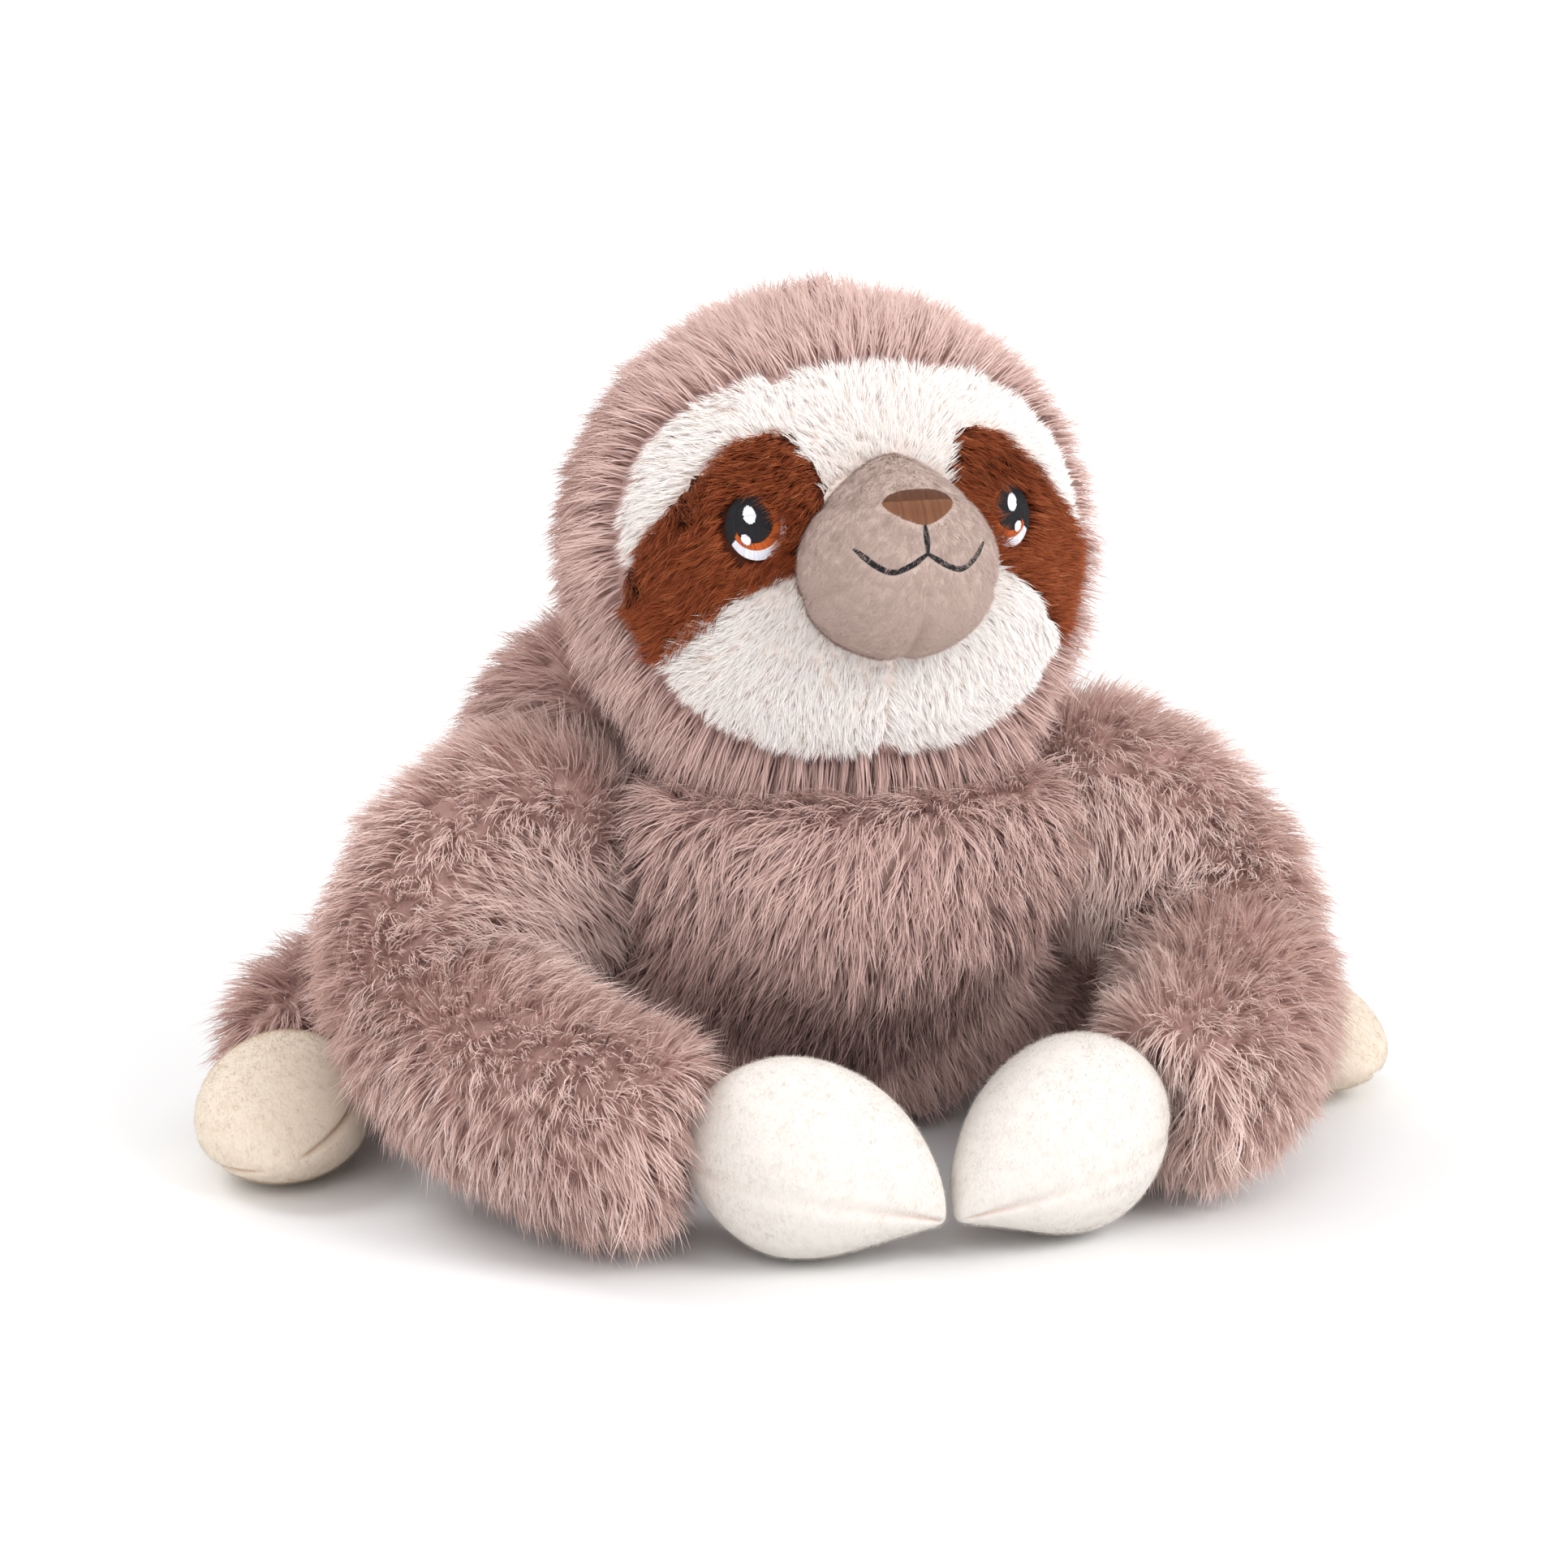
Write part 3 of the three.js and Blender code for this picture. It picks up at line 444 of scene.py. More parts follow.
def keepSkin(name, piece):
    # remembers a finished skin, so that no pile grows where another skin covers it
    points = pointsOf(piece.data)
    skins[name] = BVHTree.FromPolygons(points.tolist(), trianglesOf(piece.data).tolist())


def covered(points, by, depth):
    # which points lie deeper than a number of millimetres inside one of the named skins
    found = np.zeros(len(points), bool)
    for name in by:
        tree = skins[name]
        for i in np.flatnonzero(~found):
            where, normal, _, away = tree.find_nearest(points[i].tolist(), 0.04)
            if where is None:
                continue
            inward = (Vector(points[i]) - where).dot(normal) < 0
            found[i] = inward and away > depth * mm
    return found


def wander(points, size, reach):
    # slow, smooth wandering of a direction over the surface
    found = np.zeros_like(points)
    for i in range(4):
        wave = random.normal(size=(3, 3)) / (size * mm)
        phase = random.uniform(0, 2 * math.pi, 3)
        found += np.sin(points @ wave + phase)
    return found * reach / 2


def spread(skin, density):
    # random places on a skin, their outward directions, and how near each lies to a seam
    corners = trianglesOf(skin.data)
    points = pointsOf(skin.data)
    normals = normalsOf(skin.data)
    seams = np.zeros(len(points), np.float32)
    if "seam" in skin.data.attributes:
        skin.data.attributes["seam"].data.foreach_get("value", seams)
    first, second, third = (points[corners[:, i]] for i in range(3))
    area = np.linalg.norm(np.cross(second - first, third - first), axis=1) / 2
    number = int(density * area.sum() / mm**2)
    picked = random.choice(len(corners), number, p=area / area.sum())
    a, b = random.random((2, number, 1))
    over = a + b > 1
    a, b = np.where(over, 1 - a, a), np.where(over, 1 - b, b)
    shares = (1 - a - b, a, b)
    found = sum(points[corners[picked, i]] * shares[i] for i in range(3))
    out = sum(normals[corners[picked, i]] * shares[i] for i in range(3))
    seam = sum(seams[corners[picked, i]] * shares[i][:, 0] for i in range(3))
    return found, unit(out), seam


def growPile(name, skin, body, look, material, comb, keep=None):
    centres, out, seam = spread(skin, look["clumps"])
    kept = seam < look.get("seamLimit", 2)
    if keep is not None:
        kept &= keep(centres, out)
    centres, out, seam = centres[kept], out[kept], seam[kept]
    buried = covered(centres + out * look["cover"] * mm, look["under"], 1.5)
    buried[~buried] = covered(centres[~buried], look.get("into", []), look.get("intoDepth", 0.5))
    centres, out, seam = centres[~buried], out[~buried], seam[~buried]
    each = look["each"]
    way = unit(comb(centres, out)) + wander(centres, look["whorl"], look["stray"])
    way += wander(centres, look["whorl"] / 3, look["stray"] * 0.6)
    way = unit(way - out * np.sum(way * out, axis=1, keepdims=True))
    across = np.cross(out, way)
    clumps, total = len(centres), len(centres) * each
    clumpLength = look["length"] * (1 + look["uneven"] * random.normal(size=clumps)).clip(0.6, 1.5)
    if "longer" in look:
        clumpLength = clumpLength * look["longer"](centres, out)
    lean = look["lean"] + look["leanSpread"] * random.normal(size=clumps)
    if "flatter" in look:
        lean = lean + look["flatter"](centres, out)
    lean = np.clip(lean, 0.03, 0.95)
    turn = random.normal(size=clumps) * look["turn"]
    bent = way * np.cos(turn)[:, None] + across * np.sin(turn)[:, None]

    of = np.repeat(np.arange(clumps), each)
    angle = random.uniform(0, 2 * math.pi, total)
    away = np.sqrt(random.random(total)) * look["clumpSize"] * mm
    offset = (np.cos(angle) * away)[:, None] * way[of] + (np.sin(angle) * away)[:, None] * across[of]
    long = clumpLength[of] * (1 + look["ragged"] * random.normal(size=total)).clip(0.5, 1.4) * mm
    steps = look["steps"]
    shares = np.linspace(0, 1, steps + 1)
    at = centres[of] + offset - out[of] * look["sink"] * mm
    rows = [at]
    frizz = random.normal(size=(total, 3)) * look["frizz"]
    for i in range(steps):
        share = (shares[i] + shares[i + 1]) / 2
        tilt = np.clip(lean[of] * (0.35 + 1.1 * share), 0, 1.15)[:, None] * math.pi / 2
        step = out[of] * np.cos(tilt) + bent[of] * np.sin(tilt)
        step = step + frizz * share + np.array((0, 0, -look["droop"])) * share
        at = at + unit(step) * (long / steps)[:, None]
        rows.append(at - offset * look["clumping"] * shares[i + 1] ** 1.3)
    rows = np.stack(rows, axis=1)

    ends = unit(rows[:, -1] - rows[:, 0])
    flat = unit(np.cross(ends, out[of]))
    upright = np.cross(ends, flat)
    roll = random.uniform(-1, 1, total) * look["roll"] * math.pi / 2
    sideways = flat * np.cos(roll)[:, None] + upright * np.sin(roll)[:, None]
    widths = look["width"] * mm * (1 - shares**look["point"]) / 2
    left = rows[:, :-1] + sideways[:, None] * widths[:-1][None, :, None]
    right = rows[:, :-1] - sideways[:, None] * widths[:-1][None, :, None]
    points = np.stack([left, right], axis=2).reshape(total, steps * 2, 3)
    points = np.concatenate([points, rows[:, -1:]], axis=1)

    quads = np.array([[2 * i, 2 * i + 1, 2 * i + 3, 2 * i + 2] for i in range(steps - 1)]).ravel()
    corner = np.concatenate([quads, [2 * steps - 2, 2 * steps - 1, 2 * steps]]).astype(int)
    counts = np.tile([4] * (steps - 1) + [3], total)
    corners = (corner[None] + (np.arange(total) * (2 * steps + 1))[:, None]).ravel()
    tone = look["tone"] + look["toneSpread"] * random.normal(size=clumps)[of]
    # tone is darker near seams, painted shade in the seam creases; the look's shade function adds painted light
    # and shade
    tone = tone + look["strandTone"] * random.normal(size=total) - 0.3 * seam[of]
    if "shade" in look:
        tone = tone + look["shade"](centres, out)[of]
    tone = np.clip(tone, 0.03, 0.97)
    half = 0.008
    rowOf = np.concatenate([np.repeat(shares[:-1], 2), [1]])
    sideOf = np.concatenate([np.tile([-1, 1], steps), [0]])
    column = tone[:, None] + half * sideOf[corner][None]
    uv = np.stack([column, np.broadcast_to(0.02 + 0.96 * rowOf[corner], column.shape)], axis=2)
    points = points.reshape(-1, 3)
    points[:, 2] = np.maximum(points[:, 2], 0.0003)
    piece = meshPiece(name, points, corners, counts, uv.reshape(-1, 2), material)
    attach(piece, body)
    print(name, total, "strands,", round(len(centres) / look["clumps"] / 100), "square cm")
    return piece


# Head

head = {
    "middle": place(0, 18, 159), "pitch": 12.5,
    "face": Vector((66, 64, 54.5)), "hood": Vector((71, 70, 65)),
    "muzzleAt": Vector((0, -4.5, 55)), "muzzle": Vector((24.5, 25, 25)), "taper": 0.12,
}
tip = Matrix.Rotation(math.pi / 2 - math.radians(head["pitch"]), 4, "X")
headMatrix = Matrix.Translation(head["middle"]) @ tip
headInverse = np.array(headMatrix.inverted())
headForward = np.array(headMatrix)

faceOutlineShares = [
    (0, 0.68), (0.22, 0.675), (0.5, 0.625), (0.74, 0.48), (0.87, 0.265), (0.905, 0.08), (0.885, -0.18),
    (0.79, -0.42), (0.63, -0.625), (0.4, -0.755), (0.2, -0.81), (0.06, -0.805), (0, -0.765),
]
patchOutlineShares = [
    (0.24, 0.2), (0.28, 0.34), (0.36, 0.425), (0.5, 0.4), (0.67, 0.265), (0.8, 0.11), (0.89, -0.05),
    (1.0, -0.1), (1.0, -0.34), (0.82, -0.42), (0.69, -0.3), (0.55, -0.18), (0.4, -0.11), (0.27, -0.06),
    (0.22, 0.06),
]


def onHead(points):
    # head's own frame, in millimetres: x to the toy's left, y up the face, z out of it
    return (points @ headInverse[:3, :3].T + headInverse[:3, 3]) / mm


def fromHead(local):
    return (np.asarray(local, float) * mm) @ headForward[:3, :3].T + headForward[:3, 3]


def headWay(local):
    return np.asarray(local, float) @ headForward[:3, :3].T


def roundLoop(points, steps=8):
    # a smooth closed curve through the points
    p = np.asarray(points, float)
    before, after, next2 = np.roll(p, 1, 0), np.roll(p, -1, 0), np.roll(p, -2, 0)
    t = (np.arange(steps) / steps)[None, :, None]
    p0, p1, p2, p3 = (q[:, None] for q in (before, p, after, next2))
    curve = 2 * p1 + (p2 - p0) * t + (2 * p0 - 5 * p1 + 4 * p2 - p3) * t**2
    curve = curve + (3 * p1 - p0 - 3 * p2 + p3) * t**3
    return (curve / 2).reshape(-1, 2)


def smoothLine(points, steps=12):
    p = np.asarray(points, float)
    p = np.vstack([2 * p[0] - p[1], p, 2 * p[-1] - p[-2]])
    t = np.linspace(0, 1, steps, endpoint=False)[:, None]
    rows = []
    for i in range(1, len(p) - 2):
        p0, p1, p2, p3 = p[i - 1:i + 3]
        curve = 2 * p1 + (p2 - p0) * t + (2 * p0 - 5 * p1 + 4 * p2 - p3) * t**2
        rows.append((curve + (3 * p1 - p0 - 3 * p2 + p3) * t**3) / 2)
    return np.vstack(rows + [p[-2:-1]])


def inside(loop, x, y):
    found = np.zeros(len(x), bool)
    for (x1, y1), (x2, y2) in zip(loop, np.roll(loop, -1, 0)):
        crosses = (y1 > y) != (y2 > y)
        found ^= crosses & (x < (x2 - x1) * (y - y1) / (y2 - y1 + 1e-12) + x1)
    return found


halfFace = [(x * head["face"].x, y * head["face"].y) for x, y in faceOutlineShares]
faceLoop = roundLoop(halfFace + [(-x, y) for x, y in halfFace[1:-1][::-1]])
patchLoops = {
    name: roundLoop([(side * x * head["face"].x, y * head["face"].y) for x, y in patchOutlineShares])
    for name, side in sides.items()
}


def regionOf(points, inset=0.0):
    # 0 hood, 1 cream, 2 left patch, 3 right patch
    local = onHead(points)
    x, y, front = local[:, 0], local[:, 1], local[:, 2] > 0
    face = inside(faceLoop * (1 - inset / head["face"].x), x, y) & front
    region = np.where(face, 1, 0)
    region[inside(patchLoops["left"], x, y) & face] = 2
    region[inside(patchLoops["right"], x, y) & face] = 3
    return region


# Skins under the pile

headSkin = softForm("head_skin", "head_stuffing", {"voxel": 3.5, "smooth": 5, "swell": 2.4, "body": "head"})
inflate(headSkin, 2.5, 1.5)
middles = np.array([polygon.center[:] for polygon in headSkin.data.polygons])
for key in ("furBacking", "creamBacking", "rustBacking"):
    headSkin.data.materials.append(finishes[key])
worn = np.minimum(regionOf(middles, 3.0), 2)
headSkin.data.polygons.foreach_set("material_index", worn.astype(np.int32))
finishSkin(headSkin, "head", ["hood_crown", "hood_left", "hood_right", "forehead_panel", "cheek_left",
                              "cheek_right", "eye_patch_left", "eye_patch_right"])

def bump(points, middle, radius):
    return np.exp(-np.sum(((points - np.array(place(*middle))) / mm / np.array(radius)) ** 2, axis=1))


def torsoShape(points, out):
    # the chest narrows to a keel, and the back rises behind the shoulders
    p = points.copy()
    low = np.clip((0.078 - p[:, 2]) / 0.055, 0, 1) * np.clip((plumbLine + 0.02 - p[:, 1]) / 0.03, 0, 1)
    p[:, 0] *= 1 - 0.55 * low
    p[:, 2] -= 0.004 * np.clip(1 - np.abs(p[:, 0]) / 0.02, 0, 1) * low
    for side in (1, -1):
        p += out * (7 * mm * bump(points, (side * 58, 72, 112), (34, 34, 26)))[:, None]
    return p


torsoSkin = softForm("torso_skin", "torso_stuffing", {"voxel": 5, "smooth": 6, "swell": 2.4, "body": "torso",
                                                      "shape": torsoShape})
inflate(torsoSkin, 3, 1.5)
torsoSkin.data.materials.append(finishes["furBacking"])
finishSkin(torsoSkin, "torso", ["back_panel_left", "back_panel_right", "chest_panel", "base_panel"])


def fullShoulder(points, out):
    # the sleeve is stuffed fuller on top of the shoulder
    p = points.copy()
    for side in (1, -1):
        p += out * (6 * mm * bump(points, (side * 92, 30, 96), (26, 28, 22)))[:, None]
    return p


fuller = {"arm": fullShoulder, "leg": lambda points, out: points}
limbSkins = {}
for name in sides:
    for kind, covers in (("arm", ["upper_arm_", "forearm_"]), ("leg", ["leg_"])):
        skin = softForm(kind + "_skin_" + name, kind + "_stuffing_" + name,
                        {"voxel": 4, "smooth": 5, "swell": 2.2, "body": kind + "_" + name,
                         "shape": fuller[kind]})
        inflate(skin, 3, 1.5)
        skin.data.materials.append(finishes["furBacking"])
        finishSkin(skin, kind + "_" + name, [cover + name for cover in covers])
        limbSkins[kind + "_" + name] = skin
        keepSkin(kind + "_" + name, skin)
keepSkin("head", headSkin)
keepSkin("torso", torsoSkin)
neckSkin = softForm("neck_skin", "neck_stuffing", {"voxel": 3, "smooth": 3, "swell": 0.3, "body": None})
neckSkin.data.materials.append(finishes["furBacking"])
finishSkin(neckSkin, "neck", ["neck_stuffing"])
print("skins ready")


# Hands and feet

def pod(name, look, side, body, replaced, finish):
    bpy.ops.object.select_all(action="DESELECT")
    bpy.ops.mesh.primitive_uv_sphere_add(segments=72, ring_count=48, radius=1)
    piece = bpy.context.active_object
    piece.name = name
    p = pointsOf(piece.data)
    along = p[:, 2]
    angle = np.arctan2(p[:, 0], p[:, 1])  # from the top towards the front
    stations = np.array([[side * x, y, z] for x, y, z in look["path"]], float)
    girth = np.array(look["girth"], float)
    t = (1 + along) / 2
    weights = np.stack([(1 - t) * (1 - 2 * t), 4 * t * (1 - t), t * (2 * t - 1)], axis=1)
    slopes = np.stack([4 * t - 3, 4 - 8 * t, 4 * t - 1], axis=1)
    middle = weights @ stations
    half = weights @ girth
    tangent = unit(slopes @ stations)
    front = unit(np.cross(tangent, np.array((0, 0, 1.0)))) * side
    top = unit(np.cross(front, tangent)) * side
    fullness = np.sqrt(np.clip(1 - np.abs(along) ** look["blunt"], 0, 1))
    groove = np.zeros(len(p))
    for stops in look["seams"]:
        line = np.radians(weights @ np.array(stops, float))
        off = np.angle(np.exp(1j * (angle - line)))
        wide = look["seamWide"] / np.maximum(half.mean(1) * fullness, 2)
        groove = np.maximum(groove, np.exp(-((off / wide) ** 2)))
    groove *= np.clip((1.02 - along) / 0.12, 0, 1)
    puff = 1 - look["seamDepth"] * groove / np.maximum(half.mean(1), 1)
    size = fullness * puff
    p = middle + front * (half[:, :1] * size[:, None] * np.sin(angle)[:, None])
    p += top * (half[:, 1:] * size[:, None] * np.cos(angle)[:, None])
    low = look["floor"]
    p[:, 2] = np.where(p[:, 2] < low + 3, low + 3 * np.exp((p[:, 2] - low - 3) / 3), p[:, 2])
    if look["meet"]:
        out = side * p[:, 0]
        p[:, 0] = side * np.where(out < 3, 0.5 + 2.5 * np.exp((out - 3) / 2.5), out)
    putPoints(piece.data, p * mm + np.array((0, plumbLine, 0)))
    # the seam mask keeps pile off the seams and darkens the velvet along them: painted shade in the grooves
    seam = piece.data.attributes.new("seam", "FLOAT", "POINT")
    seam.data.foreach_set("value", (groove**3).astype(np.float32))
    only(piece)
    bpy.ops.object.mode_set(mode="EDIT")
    bpy.ops.mesh.select_all(action="SELECT")
    bpy.ops.mesh.normals_make_consistent(inside=False)
    bpy.ops.object.mode_set(mode="OBJECT")
    keepFilling(name.replace("velvet", "stuffing"), piece, body, 3.0)
    inflate(piece, 2.0, 0.8, pins=(groove > 0.5) | (p[:, 2] < low + 1))
    piece.data.materials.append(finishes[finish])
    finishSkin(piece, body, replaced, levels=1)
    return piece


handShape = {
    "path": [(60, -57, 28), (28, -73, 24.5), (1, -81, 11)], "girth": [(22, 25), (20.5, 23.5), (10, 7.5)],
    "blunt": 2.25, "seams": [(24, 50, 84), (124, 106, 100), (262, 262, 262)], "seamWide": 0.8,
    "seamDepth": 2.0, "floor": 0.3, "meet": True,
}
footShape = {
    "path": [(128, 72, 21), (140, 40, 16), (147, 9, 11)], "girth": [(18, 16), (22.5, 15.5), (17, 9.5)],
    "blunt": 2.6, "seams": [(66, 66, 66), (236, 236, 236)], "seamWide": 1.0, "seamDepth": 2.6,
    "floor": 0.3, "meet": False,
}
pods = {}
for name, side in sides.items():
    pods["hand_" + name] = pod("hand_velvet_" + name, handShape, side, "hand_" + name,
                               ["hand_front_" + name, "hand_under_" + name, "hand_top_" + name], "paw")
    pods["foot_" + name] = pod("foot_velvet_" + name, footShape, side, "leg_" + name,
                               ["foot_under_" + name, "foot_top_" + name], "foot")
for name, piece in pods.items():
    keepSkin(name, piece)
print("hands and feet ready")


# Pile of the head

def hoodComb(points, out):
    local = onHead(points)
    way = np.stack([local[:, 0], local[:, 1] - 6, -16 - 0.3 * local[:, 2].clip(-60, 60)], axis=1)
    return unit(headWay(way)) + np.array((0, 0, -0.3))


# painted light: the hood's pile is lighter where it faces up and darker where it faces down, and painted shade
# darkens it under the chin
def hoodPaintedShading(points, out):
    local = onHead(points)
    return 0.04 + 0.08 * out[:, 2] - 0.05 * (local[:, 1] < -40)


def hoodLonger(points, out):
    # the pile under the chin hangs over the collar
    local = onHead(points)
    return 1 + 0.8 * np.clip((-local[:, 1] - 36) / 18, 0, 1)


def hoodFlatter(points, out):
    # the fringe under the chin stands out and hangs over the chest
    return -0.08 * np.clip((-onHead(points)[:, 1] - 34) / 18, 0, 1)


hoodPile = {
    "clumps": 0.34, "each": 6, "length": 11, "uneven": 0.09, "ragged": 0.14, "lean": 0.42,
    "leanSpread": 0.08, "turn": 0.28, "clumpSize": 1.6, "clumping": 0.3, "whorl": 24, "stray": 0.3,
    "frizz": 0.14, "droop": 0.1, "steps": 3, "width": 0.42, "point": 1.5, "roll": 0.5, "sink": 0.6,
    "tone": 0.5, "toneSpread": 0.05, "strandTone": 0.08, "shade": hoodPaintedShading, "longer": hoodLonger,
    "flatter": hoodFlatter, "cover": 9, "under": ["torso"], "slot": "long_pile",
}
for name, low, high in (("left", 12, 200), ("crown", -12, 12), ("right", -200, -12)):
    def keepPart(points, out, low=low, high=high):
        x = onHead(points)[:, 0]
        return (regionOf(points) == 0) & (x >= low) & (x < high)

    growPile("hood_fur_" + name, headSkin, "head", hoodPile, finishes["fur"], hoodComb, keepPart)


def faceComb(points, out):
    local = onHead(points)
    way = local * (1, 1, 0) - np.array((0, -4.5, 0))
    seam = np.exp(-(local[:, 0] / 3) ** 2) * (local[:, 1] < -24)
    way[:, 0] += np.sign(local[:, 0]) * 30 * seam
    return unit(headWay(way)) + np.array((0, 0, -0.25))


def muzzleRoom(points, grow=0.0):
    local = (onHead(points) - np.array(head["muzzleAt"])) / (np.array(head["muzzle"]) + grow)
    return np.sum(local**2, axis=1) > 1


creamPile = {
    "clumps": 1.25, "each": 5, "length": 4.6, "uneven": 0.1, "ragged": 0.14, "lean": 0.58,
    "leanSpread": 0.06, "turn": 0.25, "clumpSize": 0.8, "clumping": 0.2, "whorl": 14, "stray": 0.35,
    "frizz": 0.1, "droop": 0.03, "steps": 2, "width": 0.26, "point": 1.6, "roll": 0.4, "sink": 0.4,
    "tone": 0.6, "toneSpread": 0.05, "strandTone": 0.08, "cover": 0, "under": [], "slot": "short_pile",
}
growPile("face_plush", headSkin, "head", creamPile, finishes["cream"], faceComb,
         lambda p, out: (regionOf(p, 2.2) == 1) & muzzleRoom(p, -2))

eyeAt = (32.5, 5)


def patchKeep(number):
    def keepPatch(points, out):
        local = onHead(points)
        side = 1 if number == 2 else -1
        eye = ((local[:, 0] - side * eyeAt[0]) / 6.8) ** 2 + ((local[:, 1] - eyeAt[1]) / 8.4) ** 2 > 1
        return (regionOf(points, 1.0) == number) & muzzleRoom(points, -2) & eye

    return keepPatch


def patchComb(points, out):
    local = onHead(points)
    way = np.stack([np.sign(local[:, 0]) * 30, -20 + 0 * local[:, 0], 0 * local[:, 0]], axis=1)
    return unit(headWay(way))


rustPile = dict(creamPile)
rustPile.update({"clumps": 1.5, "each": 6, "length": 5.6, "clumping": 0.25, "lean": 0.5, "width": 0.26,
                 "clumpSize": 1.0, "uneven": 0.12, "stray": 0.5, "tone": 0.45, "toneSpread": 0.1,
                 "strandTone": 0.15, "slot": "rust_pile"})
for name, number in (("left", 2), ("right", 3)):
    growPile("eye_patch_plush_" + name, headSkin, "head", rustPile, finishes["rust"], patchComb,
             patchKeep(number))


# Muzzle

nose = {
    "middle": (0, 6.5), "halfWide": 8.8, "halfTall": 4.6, "bandShare": 0.35,
    "outline": [(0, 0.92), (0.45, 0.88), (0.85, 0.62), (1, 0.2), (0.84, -0.26), (0.45, -0.74), (0, -1)],
    "stem": (1.7, -6.1), "smile": [(0, -0.13), (0.25, -0.7), (0.52, -1), (0.76, -0.56), (1, 0.35)],
    "mouthWide": 16.4, "mouthDrop": 4.6, "stroke": 1.5,
}


def noseLoop(grow=0.0):
    half = [(x * (nose["halfWide"] + grow), nose["middle"][1] + y * (nose["halfTall"] + grow))
            for x, y in nose["outline"]]
    return roundLoop(half + [(-x, y) for x, y in half[1:-1][::-1]])


def mouthLines():
    y0 = head["muzzleAt"].y
    lines = [np.array([(0, nose["stem"][0]), (0, y0 - 0.6)], float)]
    for side in (1, -1):
        points = [(side * x * nose["mouthWide"], y0 + y * nose["mouthDrop"]) for x, y in nose["smile"]]
        lines.append(smoothLine(points))
    return lines


def clearOfThread(points, out):
    # no pile where the nose and the mouth are sewn
    local = onHead(points)
    x, y = local[:, 0], local[:, 1]
    sewnOver = inside(noseLoop(0.3), x, y)
    for line in mouthLines():
        for middle in line:
            sewnOver |= np.hypot(x - middle[0], y - middle[1]) < nose["stroke"] * 0.55
    return ~(sewnOver & (local[:, 2] > head["muzzleAt"].z))


def slim(up):
    # how wide the muzzle is at a height, as a share of its half width
    return 1 - head["taper"] * up - 0.34 * np.clip(up, 0, 1) ** 2


def egg(depth, x, y):
    # height of the muzzle over a point of the face, in the head's frame
    radii = np.array(head["muzzle"]) - depth
    up = (y - head["muzzleAt"].y) / radii[1]
    wide = x / (radii[0] * slim(up))
    return head["muzzleAt"].z + radii[2] * np.sqrt(np.clip(1 - wide**2 - up**2, 0, 1))


def makeMuzzle():
    bpy.ops.object.select_all(action="DESELECT")
    bpy.ops.mesh.primitive_uv_sphere_add(segments=80, ring_count=52, radius=1)
    piece = bpy.context.active_object
    piece.name = "muzzle_velvet"
    p = pointsOf(piece.data)
    bottomDart = np.exp(-((p[:, 0]) / 0.05) ** 2) * (p[:, 1] < -0.55) * np.clip((-p[:, 1] - 0.55) / 0.3, 0, 1)
    tucks = np.zeros(len(p))
    for side in (1, -1):
        for y, tilt in ((0.55, 0.2), (-0.35, -0.3)):
            reach = np.clip((side * p[:, 0] - 0.62) / 0.25, 0, 1)
            tucks += reach * np.exp(-((p[:, 1] - y - tilt * (side * p[:, 0] - 0.9)) / 0.045) ** 2)
    under = np.exp(-((p[:, 0]) / 0.03) ** 2) * (p[:, 1] > -0.75) * (p[:, 1] < 0.35) * (p[:, 2] > 0)
    groove = np.clip(bottomDart + tucks, 0, 1)
    size = 1 - 0.045 * groove - 0.012 * under
    p[:, 0] *= slim(p[:, 1])
    p = p * size[:, None] * np.array(head["muzzle"]) + np.array(head["muzzleAt"])
    putPoints(piece.data, fromHead(p))
    # the seam mask keeps pile off the darts and tucks and darkens the velvet along them: painted shade in the
    # grooves
    seam = piece.data.attributes.new("seam", "FLOAT", "POINT")
    seam.data.foreach_set("value", groove.astype(np.float32))
    keepFilling("muzzle_stuffing", piece, "head", 2.5)
    inflate(piece, 1.5, 0.5, pins=groove > 0.4)
    piece.data.materials.append(finishes["muzzle"])
    finishSkin(piece, "head", ["muzzle_cap"], levels=1)
    return piece


muzzlePiece = makeMuzzle()
muzzlePile = dict(creamPile)
muzzlePile.update({"clumps": 1.8, "each": 5, "length": 1.4, "width": 0.15, "lean": 0.74, "clumping": 0.1,
                   "clumpSize": 1.2, "sink": 0.1, "steps": 1, "tone": 0.5, "toneSpread": 0.02, "roll": 0.1,
                   "strandTone": 0.06, "stray": 0.08, "whorl": 40, "slot": "muzzle_velvet",
                   "seamLimit": 0.6})


def muzzleComb(points, out):
    local = onHead(points)
    way = np.stack([local[:, 0], -12 + 0 * local[:, 0], 0 * local[:, 0]], axis=1)
    return headWay(way)


growPile("muzzle_pile", muzzlePiece, "head", muzzlePile, finishes["muzzlePile"], muzzleComb, clearOfThread)
print("muzzle ready")


# Embroidery

